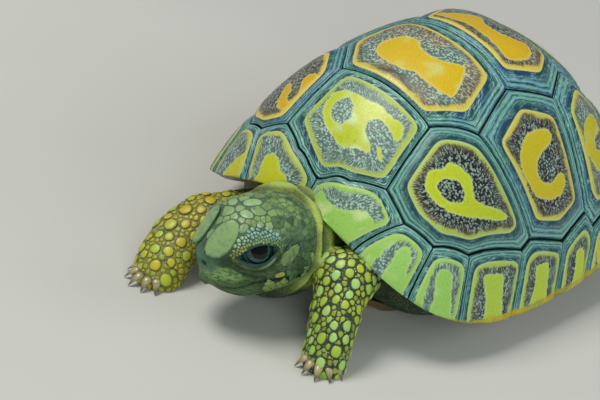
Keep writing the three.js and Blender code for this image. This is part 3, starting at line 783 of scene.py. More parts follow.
PLASTRON_ROWS = {
    "gular": ((0, -27.8), (3.4, -28.6), (6.6, -26.2), (0, -21)),
    "humeral": ((0, -21), (6.6, -26.2), (12.5, -20.8), (15, -14.6), (0, -12.6)),
    "pectoral": ((0, -12.6), (15, -14.6), (23.4, -12.4), (24.4, -7), (12, -8.6), (0, -9.6)),
    "abdominal": ((0, -9.6), (12, -8.6), (24.4, -7), (24.6, 9.5), (15, 14.4), (0, 12)),
    "femoral": ((0, 12), (15, 14.4), (14.2, 21.2), (10.8, 24), (0, 21.4)),
    "anal": ((0, 21.4), (10.8, 24), (7.2, 30.4), (3.2, 31), (0, 28.4))
}


class Side(Enum):
    """Which half of the animal a piece is on."""

    LEFT = 1
    MIDDLE = 0
    RIGHT = -1


# ---- the plates' markings --------------------------------------------------------------------
Loop = tuple[float, ...]  # a closed outline: across and back by turns


def loop_depth(places: Array, loop: Loop) -> Array:
    """How deep inside a smooth closed outline each place is, negative outside."""
    ends = np.array(loop, dtype=float).reshape(-1, 2)
    rows = np.vstack([ends[-1:], ends, ends[:2]])
    t = np.linspace(0, 1, 6, endpoint=False)[:, None]
    runs = []
    for a, b, c, d in zip(rows, rows[1:], rows[2:], rows[3:]):
        curve = 2 * b + (c - a) * t + (2 * a - 5 * b + 4 * c - d) * t**2 + (3 * b - a - 3 * c + d) * t**3
        runs.append(0.5 * curve)
    line = np.concatenate(runs)
    after = np.roll(line, -1, axis=0)
    best = np.full(len(places), 1e9)
    inside = np.zeros(len(places), dtype=bool)
    for start, end in zip(line, after):
        run = end - start
        along = np.clip((places - start) @ run / max(float(run @ run), 1e-9), 0, 1)
        best = np.minimum(best, np.linalg.norm(places - start - along[:, None] * run, axis=1))
        rising = (start[1] > places[:, 1]) != (end[1] > places[:, 1])
        cross = start[0] + (places[:, 1] - start[1]) * run[0] / (run[1] if abs(run[1]) > 1e-9 else 1e-9)
        inside ^= rising & (places[:, 0] < cross)
    return np.where(inside, best, -best)


@dataclass(frozen=True)
class Marking:
    """The pigment of one plate, in millimetres beside its heart: first number left, second back.

    On a marginal plate the first number runs back along the rim and the second up from it.
    """

    heart: tuple[float, float] | None  # plan place that the loops are measured from
    warm: float  # orange where 1, green where -1
    dark: float
    areola: float  # the birth plate's share of the whole plate
    birth: tuple[float, float]  # the birth plate's middle, beside the heart
    yellow: tuple[Loop, ...]
    islands: tuple[Loop, ...] = ()

    def depth(self, places: Array) -> Array:
        """How deep in the yellow each place is: loops joined, islands cut out."""
        inside = np.full(len(places), -9.0)
        for loop in self.yellow:
            inside = np.maximum(inside, loop_depth(places, loop))
        for loop in self.islands:
            inside = np.minimum(inside, -loop_depth(places, loop))
        return inside


# The mark of the marginal plates behind: a plain tongue up from the rim.
TONGUE: Loop = (
    -1.3, -1.5, 1.5, -1.5, 1.36, 0.8, 1.204, 2.76, 1.0384, 4.37, 0.1, 4.83, -0.8384, 4.37, -1.004, 2.76,
    -1.16, 0.8
)
MARKINGS: dict[str, Marking] = {
    "vertebral_1": Marking(
        (0, -22), 0.1, -0.15, 0.81, (6.0, -2.2), ((-5.4, -0.6, -5, 1.3, -3.2, 2.5, 0, 2.7, 2.6, 3, 5,
        2.6, 7.4, 2.4, 8.4, 0.9, 8.2, -0.2, 7.4, 0, 6.4, 0.5, 4.5, 1.1, 3.2, 0.4, 3, -0.8, 4, -2, 5.7,
        -3.2, 5.9, -4, 4.4, -4.5, 3.1, -4.9, 1.6, -5.5, -0.4, -4.9, -2.4, -4.2, -4, -3, -5, -1.9), (6.6,
        -2.8, 7.2, -2.5, 8.3, -3.7, 7.9, -4.1)), ((-3.4, -1.6, -3.7, -0.3, -3.2, 0.9, -2, 1.4, -0.7,
        0.6, 0, -0.7, -0.2, -2.1, -1.1, -2.8, -2.4, -2.5),)
    ),
    "vertebral_2": Marking(
        (0, -9), 0.75, 0.2, 0.8, (0.6, -5.6), ((-5.9, -3.2, -6, -1.8, -5, 0.4, -3.6, 1.8, -1.8, 1.8,
        -0.2, 0.7, 1.3, 0.3, 3.1, 0.5, 4.9, 1.6, 6.3, 2.8, 7.5, 2, 8.4, 0.3, 9.3, -1.9, 9, -3.4, 7.1,
        -3.9, 4.6, -4.2, 2.3, -4, 1, -4.8, -2, -5, -4.5, -4.4),)
    ),
    "vertebral_3": Marking(
        (0, 8), 0.85, 0.55, 0.76, (1.6, -3.0), ((-7.4, -4.6, -5.6, -3, -4, -1, -2.4, 1, -0.2, -0.9, 2.7,
        -1.2, 4.9, 0.6, 6, 2.3, 7.7, 1.9, 9, -0.1, 8.8, -2.8, 7.9, -4.7, 5, -4.9, 1.9, -4.8, -1, -4.6,
        -4, -5.3),)
    ),
    "vertebral_4": Marking(
        (0, 20), 0.7, 0.6, 0.72, (0, -0.8), ((-5.4, -0.6, -3, -2.2, 2.4, -2, 5.4, -0.8, 4.8, 1.6, 1, 1,
        -2.6, 1.8, -5, 1.2),)
    ),
    "vertebral_5": Marking(
        (0, 29.4), 0.65, 0.6, 0.72, (0, -0.3), ((-3.4, -1, 0, -1.8, 3.4, -1, 2, 0.8, 0.9, 2.8, -0.9,
        2.8, -2, 0.8),)
    ),
    "costal_left_1": Marking(
        (18.1, -15.5), 0.02, 0.9, 0.76, (2.0, -1.6), ((-3.6, -4.6, -2.4, -6, -0.6, -6.3, 1.4, -5.4, 3.6,
        -3.6, 5, -0.9, 6.4, 2.4, 7.4, 5.6, 6.7, 6.3, 5.4, 4.7, 3.9, 2.1, 2.2, 0.7, -0.3, 1.2, -2.2, 0.3,
        -3.8, -1.4, -3.3, -2.9),), ((-1.1, -4.6, -1.7, -3, -0.9, -1.4, 0.9, -0.7, 2.2, -1.9, 1.4,
        -3.8),)
    ),
    "costal_left_2": Marking(
        (19.8, 1.4), 0.55, 0.8, 0.71, (2.4, -0.8), ((-2.2, -4.9, -4.6, -2.6, -4.8, 1.6, -3.5, 3.5, -2.1,
        2.8, -1.3, 0.2, 0, -1.4, 1.6, -1.8, 3, -1, 3.7, 1, 2.9, 3, 3.3, 4.4, 5.2, 4.1, 6.4, 2.4, 6, -1,
        4.6, -3.3, 2.2, -4.4, 0, -5.2),)
    ),
    "costal_left_3": Marking(
        (19.6, 16.4), 0.5, 0.3, 0.7, (1.8, 0.2), ((-4.6, 1, -3.6, -2.6, 0.6, -3.4, 4.4, -1, 5, 1.8, 2.2,
        1.6, 0.8, -0.6, -0.8, -0.4, -2, 2.2),)
    ),
    "costal_left_4": Marking(
        (15.4, 27.0), 0.5, 0.5, 0.68, (0.8, 0.2), ((-3.4, -0.6, -1, -2, 3, -1.4, 3.6, 0.8, 0.8, 0.4, -2,
        1.2),)
    ),
    "costal_right_1": Marking(
        (-18.1, -15.5), 0.85, 0.75, 0.76, (3.0, -7.0), ((2.6, -3.6, 1.7, -3.8, 1.5, -5.5, 1.5, -7.6,
        2.4, -9, 3.9, -9.5, 5.4, -9.2, 6.4, -8, 7.2, -6.6, 8.1, -5.3, 8.8, -4.4, 8.1, -3.4, 6.7, -2.9,
        5.7, -3.6, 5.5, -4.8, 5.6, -6.6, 4.9, -7.7, 3.9, -7.7, 3.5, -6.9, 3.8, -5.4),)
    ),
    "costal_right_2": Marking(
        (-19.8, 1.4), 0.6, 0.7, 0.72, (-2.4, -1.0), ((4.4, 2.4, 4.2, -2.4, 1.4, -4.6, -3, -4, -4.8,
        -1.6, -5, 2.4, -3.4, 2.6, -2.8, -0.4, -0.6, -1.8, 1.4, -1.4, 2.4, 1.6),)
    ),
    "costal_right_3": Marking(
        (-19.6, 16.4), 0.55, 0.6, 0.68, (-1.8, 0.2), ((4.4, 0.2, 2.6, -2.6, -1.6, -2.8, -5, -0.4, -4.4,
        1.8, -1.4, 0.6, 1.6, 1.6),)
    ),
    "costal_right_4": Marking(
        (-15.4, 27.0), 0.5, 0.6, 0.68, (-0.8, 0.2), ((3.6, -0.4, 0.4, -2, -3.2, -1, -3, 1, 0.4, 0.4),)
    ),
    "marginal_left_1": Marking(
        None, -0.85, -0.1, 0.84, (0, 0), ((-3.6, -1.5, 5.6, -1.5, 5.3, 1.3, 5.9, 3.2, 7.2, 5, 7, 6, 5.4,
        6, 3.2, 4.4, 1.2, 3.1, -1, 2.7, -3.2, 2.4),)
    ),
    "marginal_left_2": Marking(
        None, -1.0, 0.0, 0.82, (0, 0), ((0.3, -1.5, 4.3, -1.5, 4.3, 2.1, 3.8, 3.7, 4.1, 5.6, 3.4, 6.9,
        2.2, 6.3, 1.4, 4.9, 1.2, 3.4, 0.8, 2.1), (-3.6, -1.5, -1.7, -1.5, -1.5, 0.6, -0.4, 3.4, 1, 6.2,
        2.2, 7.8, 1.2, 8.6, -0.8, 6.2, -2.6, 2.8))
    ),
    "marginal_left_3": Marking(
        None, -0.9, 0.15, 0.82, (0, 0), ((-1, -1.5, 2.9, -1.5, 2.5, 1.3, 2.1, 4.7, 1.9, 6.8, 0.8, 7.3,
        -0.5, 6.7, -0.9, 5.4, -0.7, 3.5, -0.8, 1.4), (-4.4, -1.5, -2, -1.5, -2.1, 1, -1.9, 4, -1.3, 6.6,
        -1.8, 7.6, -2.6, 5, -3.4, 2))
    ),
    "marginal_left_4": Marking(
        None, -0.4, 0.6, 0.82, (0, 0), ((-1.4, -1.5, 2.8, -1.5, 2.5, 1.4, 2.3, 5.1, 2.1, 7.4, 0, 7.7,
        -1.9, 7.6, -2, 6.4, -1.4, 4.3, -1.3, 1.9),)
    ),
    "marginal_left_5": Marking(
        None, -0.3, 0.62, 0.8, (0, 0), ((-2.1, -1.5, 2.6, -1.5, 2.4, 0.6, 2.6, 3.1, 3, 6.2, 1.4, 6.8,
        -0.3, 6.6, -0.7, 4.1, -1.8, 1.2),)
    ),
    "marginal_left_6": Marking(
        None, -0.2, 0.6, 0.78, (0, 0), ((-0.8, -1.5, 2.6, -1.5, 2.4, 0.4, 3.1, 2.6, 3.4, 5.4, 1.6, 5.9,
        0.6, 2.6, -0.4, 0.4),)
    ),
    "marginal_right_1": Marking(
        None, 0.25, 0.2, 0.84, (0, 0), ((-2.6, -1.5, 3.3, -1.5, 3.3, 1.6, 4.2, 4.5, 3.1, 5.3, 1.5, 4.7,
        0.1, 3.1, -1.8, 1.6),)
    ),
    "marginal_right_2": Marking(
        None, 0.35, 0.3, 0.84, (0, 0), ((-3.4, -1.5, 0.4, -1.5, 0.1, 1.9, -0.9, 4.4, -2, 6.1, -3.2, 6,
        -3.3, 3.4),)
    ),
}


# ---- the plates ------------------------------------------------------------------------------
@dataclass(frozen=True)
class Relief:
    """Heights across a plate, from its heart to its seam, in millimetres."""

    heart: float = 0.36
    areola: float = 0.24
    step: float = 0.07  # down from the birth plate to the growth zone
    seam: float = -0.42
    groove: float = 0.13
    depth: float = 1.15
    grooves: tuple[float, ...] = (0.55, 0.75, 0.95)  # where, across the growth zone
    spread: float = 0.042  # half width of a groove, of the growth zone's width

    def profile(self, share: Array, areola: float, turn: Array) -> tuple[Array, Array]:
        """Height over a plate, and how far out in its growth zone.

        Args:
            share: of the way from the heart to the seam.
            areola: where the birth plate ends.
            turn: place round the plate, 0 to 1, for the waver of the grooves.

        Returns:
            Heights, and 0 at the birth plate rising to 1 at the seam.
        """
        growth = np.clip((share - areola) / (1 - areola), 0, 1)
        tau = 2 * np.pi * turn
        waver = 0.02 * np.sin(3 * tau + 1.3) + 0.012 * np.sin(7 * tau) + 0.006 * np.sin(17 * tau)
        growth = growth + waver * np.sin(np.pi * growth)
        cut = sum(bell(growth, at, self.spread) for at in self.grooves)
        inner = self.heart + (self.areola - self.heart) * np.minimum(share / areola, 1) ** 3
        outer = (self.areola - self.step) + (self.seam + self.step - self.areola) * growth**1.6
        height = np.where(share < areola, inner, outer) - self.groove * np.clip(cut, 0, 1)
        return height - 0.22 * ease(0.94, 1.0, growth), growth


@dataclass
class Scute:
    """One horny plate of the shell as a closed mesh: rings round the middle of its birth plate."""

    name: str
    corners: Sequence[Corner]
    lift: Callable[[Array], tuple[Array, Array]]
    marking: Marking
    relief: Relief = Relief()
    gap: float = 0.05  # from its edge to the middle of the seam
    stride: float = 0.34
    rings: tuple[int, int] = (17, 27)  # across the birth plate and across the growth zone
    around_rim: bool = False

    def _plan(self) -> Array:
        """The outline in plan, anticlockwise, in even steps: straight seams, and the rim."""
        runs = []
        for start, end in zip(self.corners, [*self.corners[1:], self.corners[0]]):
            t = np.linspace(0, 1, 60, endpoint=False)
            if isinstance(start, tuple) or isinstance(end, tuple):
                a, b = self._place(start), self._place(end)
                runs.append(a + (b - a) * t[:, None])
            else:
                runs.append(SHELL.at(start + (end - start) * t, np.ones(60)))
        fine = np.concatenate(runs)
        solid, _ = self.lift(fine)
        steps = np.linalg.norm(np.roll(solid, -1, axis=0) - solid, axis=1)
        travelled = np.concatenate([[0], np.cumsum(steps)])
        count = int(travelled[-1] / self.stride)
        wanted = np.linspace(0, travelled[-1], count, endpoint=False)
        looped = np.vstack([fine, fine[:1]])
        self.round = wanted
        self.girth = float(travelled[-1])
        return np.stack([np.interp(wanted, travelled, looped[:, i]) for i in (0, 1)], axis=-1)

    @staticmethod
    def _place(corner: Corner) -> Array:
        """A corner's place in plan."""
        if isinstance(corner, tuple):
            return np.array(corner, dtype=float)
        return SHELL.at(np.float64(corner), np.float64(1.0))

    def _flat(self, plan: Array) -> Array:
        """Plan places in the plane that the rings are drawn in: for a marginal, angle and share."""
        if not self.around_rim:
            return plan
        angle = self.middle + (SHELL.angle(plan) - self.middle + 180) % 360 - 180
        return np.stack([angle * self.per_degree, SHELL.share(plan) * self.per_share], axis=-1)

    def _unflat(self, flat: Array) -> Array:
        """Back from the plane of the rings to the plan."""
        if not self.around_rim:
            return flat
        return SHELL.at(flat[..., 0] / self.per_degree, flat[..., 1] / self.per_share)

    def _beside(self, points: Array, flat: Array) -> Array:
        """Millimetres beside the heart, in the plane that the markings are drawn in."""
        if self.around_rim:
            plan = self._unflat(flat)
            foot, _ = self.lift(SHELL.at(flat[..., 0] / self.per_degree, np.ones(flat.shape[:-1])))
            up, _ = self.lift(plan)
            sign = 1 if self.middle >= 0 else -1
            away = (flat[..., 0] / self.per_degree - self.middle) * sign
            radius = SHELL.rim_radius(np.float64(self.middle))
            return np.stack([np.radians(away) * radius, np.linalg.norm(up - foot, axis=-1)], axis=-1)
        heart, normal = self.lift(np.array([self.marking.heart], dtype=float))
        back = unit(np.array([0, 1.0, 0]) - normal[0] * normal[0, 1])
        left = np.cross(back, normal[0])
        return np.stack([(points - heart[0]) @ left, (points - heart[0]) @ back], axis=-1)

    def piece(self) -> Piece:
        """The plate's mesh, with the numbers that its pigment follows."""
        if self.around_rim:
            angles = [c for c in self.corners if not isinstance(c, tuple)]
            self.middle = float(np.mean(angles))
            self.per_degree, self.per_share = math.radians(26.0), 40.0
        plan = self._plan()
        outline = self._flat(plan)
        count = len(outline)
        turn = np.arange(count) / count
        on_rim = (SHELL.share(plan) > 0.9985) if self.around_rim else np.zeros(count, dtype=bool)
        areola = self.marking.areola
        if self.around_rim:
            centre = np.array([self.middle * self.per_degree, self.per_share])
        else:
            heart, normal = self.lift(np.array([self.marking.heart], dtype=float))
            back = unit(np.array([0, 1.0, 0]) - normal[0] * normal[0, 1])
            left = np.cross(back, normal[0])
            a, b = self.marking.birth
            centre = (heart[0] + left * a + back * b)[:2]
        spectrum = np.fft.fft(outline[:, 0] + 1j * outline[:, 1])
        waves = np.abs(np.fft.fftfreq(count, d=1 / count)) * 2 * np.pi / self.girth
        soft = np.fft.ifft(spectrum * np.exp(-0.5 * (waves * 1.15) ** 2))
        rounded = np.stack([soft.real, soft.imag], axis=-1)
        rounded = np.where(on_rim[:, None], outline, rounded)
        if self.around_rim:
            rounded[:, 1] = np.minimum(rounded[:, 1], self.per_share)
        outward = unit(outline - centre)
        edge_line = outline - np.where(on_rim[:, None], 0, outward * self.gap * 1.2)
        shares = np.concatenate(
            [np.linspace(0, areola, self.rings[0])[1:], np.linspace(areola, 1, self.rings[1])[1:]]
        )
        toward = ease(areola, 1.0, shares)[:, None, None]
        lines = rounded[None] * (1 - toward) + edge_line[None] * toward
        flat = centre + shares[:, None, None] * (lines - centre)
        surface, normals = self.lift(self._unflat(flat))
        rise, growth = self.relief.profile(shares[:, None] + 0 * turn[None], areola, turn[None])
        if self.around_rim:
            rise = rise * 0.75 + 0.02
        top = surface + normals * rise[..., None]
        beside = self._beside(surface.reshape(-1, 3), flat.reshape(-1, 2))
        last = self.rings[0] - 2
        border = self._beside(surface[last], flat[last])
        edge = self._distance(beside, border, on_rim) * np.where(
            np.repeat(shares, count) <= areola + 1e-6, 1, -1
        )
        # the edge turned under, then the underside back to the middle
        out3 = unit(top[-1] - top[-3])
        out3 = unit(out3 - normals[-1] * dot(out3, normals[-1])[:, None])
        depth = np.where(on_rim, 1.7, self.relief.depth)[:, None]
        bulge = np.where(on_rim, 0.55, 0.0)[:, None]
        phi = np.linspace(0, np.pi, 8)[1:, None, None]
        wall = (
            top[-1][None] - normals[-1][None] * depth[None] * (1 - np.cos(phi)) / 2 + out3[None]
            * bulge[None] * np.sin(phi)
        )
        below_flat = centre + np.array([0.8, 0.4])[:, None, None] * (edge_line[None] - centre)
        below, below_normals = self.lift(self._unflat(below_flat))
        below = below - below_normals * (depth * 0.5 + self.relief.depth * 0.75)[None]
        heart_top, heart_normal = self.lift(self._unflat(centre[None]))
        poles = np.concatenate(
            [
                heart_top + heart_normal * (self.relief.heart * (0.75 if self.around_rim else 1)),
                heart_top - heart_normal * self.relief.depth * 1.1
            ]
        )
        rings = np.concatenate([top, wall, below])
        points = np.concatenate([rings.reshape(-1, 3), poles])
        total = len(rings)
        quads, fans = capped(total, count)
        inner = len(top)
        extra = total - inner
        lip = np.zeros(len(beside))
        if self.around_rim:
            away = np.abs(flat[..., 0].ravel() / self.per_degree)
            lip = ease(0.12, -0.12, beside[:, 1] - 1.0 * ease(46, 66, away)) * (away > 46)
        values = self._values(beside, edge, growth, on_rim, extra, count)
        values["lip"][: len(lip)] = lip
        ring_map = self._ring_map(rings, quads, fans, count, total)
        made = Piece(self.name, points, [quads, fans], values, {"Rings": ring_map})
        return made if volume_of(points - points.mean(axis=0), quads) > 0 else flipped(made)

    def _distance(self, places: Array, border: Array, on_rim: Array) -> Array:
        """Distance from each place to the birth plate's border, leaving the rim's own part out."""
        ends = np.roll(border, -1, axis=0)
        keep = ~(on_rim & np.roll(on_rim, -1))
        starts, ends = border[keep], ends[keep]
        lines = ends - starts
        squared = np.maximum((lines**2).sum(axis=1), 1e-9)
        best = np.full(len(places), 1e9)
        for chunk in np.array_split(np.arange(len(starts)), max(len(starts) // 24, 1)):
            offset = places[:, None] - starts[None, chunk]
            along = np.clip((offset * lines[chunk]).sum(axis=2) / squared[chunk], 0, 1)
            away = offset - along[..., None] * lines[chunk]
            best = np.minimum(best, np.sqrt((away**2).sum(axis=2)).min(axis=1))
        return best

    def _values(
        self, beside: Array, edge: Array, growth: Array, on_rim: Array, extra: int, count: int
    ) -> dict[str, Array]:
        """The numbers at each vertex: top rings, then the walls and underside, then the poles."""
        mark = self.marking.depth(beside)
        tail_edge = np.tile(edge.reshape(-1, count)[-1], extra)
        lip = np.zeros((extra, count))
        lip[:] = np.where(on_rim, ease(0.3, 2.5, np.arange(extra) + 0.0)[:, None], 0)
        ones = np.ones(len(mark) + extra * count + 2)
        pole_edge = float(edge.reshape(-1, count)[0].mean())
        return {
            "edge": np.concatenate([edge, tail_edge, [pole_edge, -1]]),
            "mark": np.concatenate([mark, np.tile(mark.reshape(-1, count)[-1], extra), [mark[0], -1]]),
            "growth": np.concatenate([growth.ravel(), np.ones(extra * count), [0, 1]]),
            "lip": np.concatenate([np.zeros(len(mark)), lip.ravel(), [0, 0]]),
            "warm": ones * self.marking.warm, "dark": ones * self.marking.dark
        }

    def _ring_map(self, rings: Array, quads: Array, fans: Array, count: int, total: int) -> Array:
        """UV in millimetres: round the plate, and out from its heart."""
        out = np.cumsum(
            np.concatenate([np.zeros((1, count)), np.linalg.norm(np.diff(rings, axis=0), axis=2)]), axis=0
        ).ravel()
        out = np.concatenate([out, [0.0, out[-1]]])
        round_ = np.concatenate([np.tile(self.round, total), [0.0, 0.0]])
        u = round_[quads]
        last = (quads[:, 0] % count) == count - 1
        u[last, 1] = self.girth
        u[last, 2] = self.girth
        quad_map = np.stack([u, out[quads]], axis=-1)
        fan_map = np.stack([round_[fans], out[fans]], axis=-1)
        return np.concatenate([quad_map.reshape(-1, 2), fan_map.reshape(-1, 2)])


def flipped(piece: Piece) -> Piece:
    """The same piece facing the other way."""
    loops = np.cumsum([0] + [f.size for f in piece.faces])
    for name, places in piece.maps.items():
        parts = [
            places[a:b].reshape(-1, f.shape[1], 2)[:, ::-1].reshape(-1, 2)
            for f, a, b in zip(piece.faces, loops[:-1], loops[1:])
        ]
        piece.maps[name] = np.concatenate(parts)
    piece.faces = [f[:, ::-1] for f in piece.faces]
    return piece


@dataclass
class Carapace:
    """The upper shell: 5 vertebral plates, 4 costals and 11 marginals a side, one over the tail."""

    finish: Finish

    def build(self) -> None:
        """Makes every plate."""
        for scute in self.scutes():
            scute.piece().build(self.finish, "carapace", [scute.name])

    def scutes(self) -> Iterator[Scute]:
        """The plates, front to back, left then right."""
        for i, keys in enumerate(VERTEBRALS, start=1):
            half = [SEAM[k] for k in keys]
            other = [(-x, y) for x, y in reversed(half) if x]
            yield self._plate(f"vertebral_{i}", [*half, *other])
        for i, keys in enumerate(COSTALS, start=1):
            half = [SEAM[k] for k in keys]
            yield self._plate(f"costal_left_{i}", half)
            yield self._plate(f"costal_right_{i}", [(-x, y) for x, y in reversed(half)])
        for i, keys in enumerate(MARGINALS):
            inner = [SEAM[k] for k in keys]
            ends = [float(a) for a in RIM_ANGLES[i : i + 2]]
            yield self._plate(f"marginal_left_{i + 1}", [*ends, *inner], True)
            mirrored = [(-x, y) for x, y in reversed(inner)]
            yield self._plate(f"marginal_right_{i + 1}", [-ends[1], -ends[0], *mirrored], True)
        tail = SEAM["tail"]
        yield self._plate("supracaudal", [*map(float, RIM_ANGLES[-2:]), (-tail[0], tail[1]), tail], True)

    @staticmethod
    def _plate(name: str, corners: Sequence[Corner], around_rim: bool = False) -> Scute:
        """One plate with its marking; plates at the rear share a plain tongue.

        Args:
            name: the plate's node.
            corners: its outline, anticlockwise.
            around_rim: whether it wraps round the rim.

        Returns:
            The plate.
        """
        marking = MARKINGS.get(name)
        if marking is None:
            number = int(name[-1]) if name[-1].isdigit() else 3
            warm, dark = 0.3 + 0.08 * (number % 3), 0.4 + 0.06 * (number % 4)
            marking = Marking(None, warm, dark, 0.77, (0, 0), (TONGUE,))
        swayed = [SHELL.swayed(corner) for corner in corners]
        return Scute(name, swayed, SHELL.lift, marking, around_rim=around_rim)


# ---- the flesh's form ------------------------------------------------------------------------
class Mass(Protocol):
    """A lump of flesh."""

    low: Array
    high: Array
    blend: float

    def distance(self, places: Array) -> Array:
        """Distance of each place from its surface, negative inside."""


@dataclass
class Limb:
    """A limb, or neck or tail: a chain of oval bars along a smooth curve."""

    stations: Sequence[tuple[float, ...]]  # place, half width and half depth
    side: tuple[float, float, float]
    blend: float = 1.5  # how softly it grows out of the rest
    trim: float = 0.25  # how far its skin lies inside the solid, for the scales on it
    steps: int = 6

    def __post_init__(self) -> None:
        """Draws the curve through the stations, and the box that holds it."""
        count = (len(self.stations) - 1) * self.steps + 1
        rows = spline(np.array(self.stations, dtype=float), count)
        self.line, self.girth = rows[:, :3], rows[:, 3:] - self.trim
        reach = self.girth.max()
        self.low, self.high = self.line.min(axis=0) - reach, self.line.max(axis=0) + reach

    def distance(self, places: Array) -> Array:
        """Distance of each place from the limb's skin."""
        best = np.full(len(places), 99.0)
        for start, end, first, last in zip(self.line, self.line[1:], self.girth, self.girth[1:]):
            length = float(np.linalg.norm(end - start))
            axis = (end - start) / length
            side = unit(np.array(self.side) - axis * (np.array(self.side) @ axis))
            deep = np.cross(axis, side)
            local = places - start
            along = local @ axis
            t = np.clip(along / length, 0, 1)
            wide = first[0] + (last[0] - first[0]) * t
            thick = first[1] + (last[1] - first[1]) * t
            round_ = (wide + thick) / 2
            u, v, w = local @ side / wide, local @ deep / thick, (along - t * length) / round_
            whole = np.sqrt(u * u + v * v + w * w)
            slope = np.sqrt((u / wide) ** 2 + (v / thick) ** 2 + (w / round_) ** 2)
            best = np.minimum(best, whole * (whole - 1) / np.maximum(slope, 1e-6))
        return best


@dataclass
class Neck(Limb):
    """The neck's sleeve, open in front, where the head comes out of a roll of loose skin."""

    rim: tuple[float, float, float] = (0, -34.8, 11)
    facing: tuple[float, float, float] = (0, -0.94, 0.33)
    folds: tuple[tuple[float, float, float], ...] = (
        (0.5, 0.5, 0.42), (1.3, -0.35, 0.26), (2.7, 0.5, 0.8), (4.6, -0.2, 0.6), (6.4, 0.3, 1.1)
    )

    def behind(self, places: Array) -> Array:
        """How far behind the rim of the sleeve each place is."""
        return -(places - np.array(self.rim)) @ np.array(self.facing)

    def distance(self, places: Array) -> Array:
        """Distance of each place from the sleeve."""
        behind = self.behind(places)
        waver = 0.35 * np.sin(places[:, 0] * 0.8 + 1) + 0.2 * np.sin(places[:, 2] * 1.3)
        swell = sum(rise * bell(behind + waver, at, width) for at, rise, width in self.folds)
        return soft_max(super().distance(places) - swell, -behind - 0.2 * waver, 0.6)


@dataclass
class Torso:
    """The body inside the shell: drawn in from the rim, behind the neck and over the tail."""

    low: Array = field(default_factory=lambda: np.array([-29.0, -33.0, 0.0]))
    high: Array = field(default_factory=lambda: np.array([29.0, 38.0, 24.0]))
    blend: float = 0.1
    under: float = 3.5  # below the carapace
    above: float = 2.1  # above the plastron's sole
    crown: float = 21.5  # its hidden top

    def distance(self, places: Array) -> Array:
        """Distance of each place from the body."""
        plan = places[:, :2]
        angle = np.abs(SHELL.angle(plan))
        recess = 0.2 * bell(angle, 0, 55) + 0.23 * bell(angle, 147, 24) + 0.07
        roof = (places[:, 2] - SHELL.height(plan) + self.under) * 0.6
        flank = (SHELL.share(plan) - 1 + recess) * 27
        floor = SHELL.sole(plan) + self.above - places[:, 2]
        inside = soft_max(soft_max(roof, flank, 3.0), floor, 2.0)
        return soft_max(inside, places[:, 2] - self.crown, 1.0)


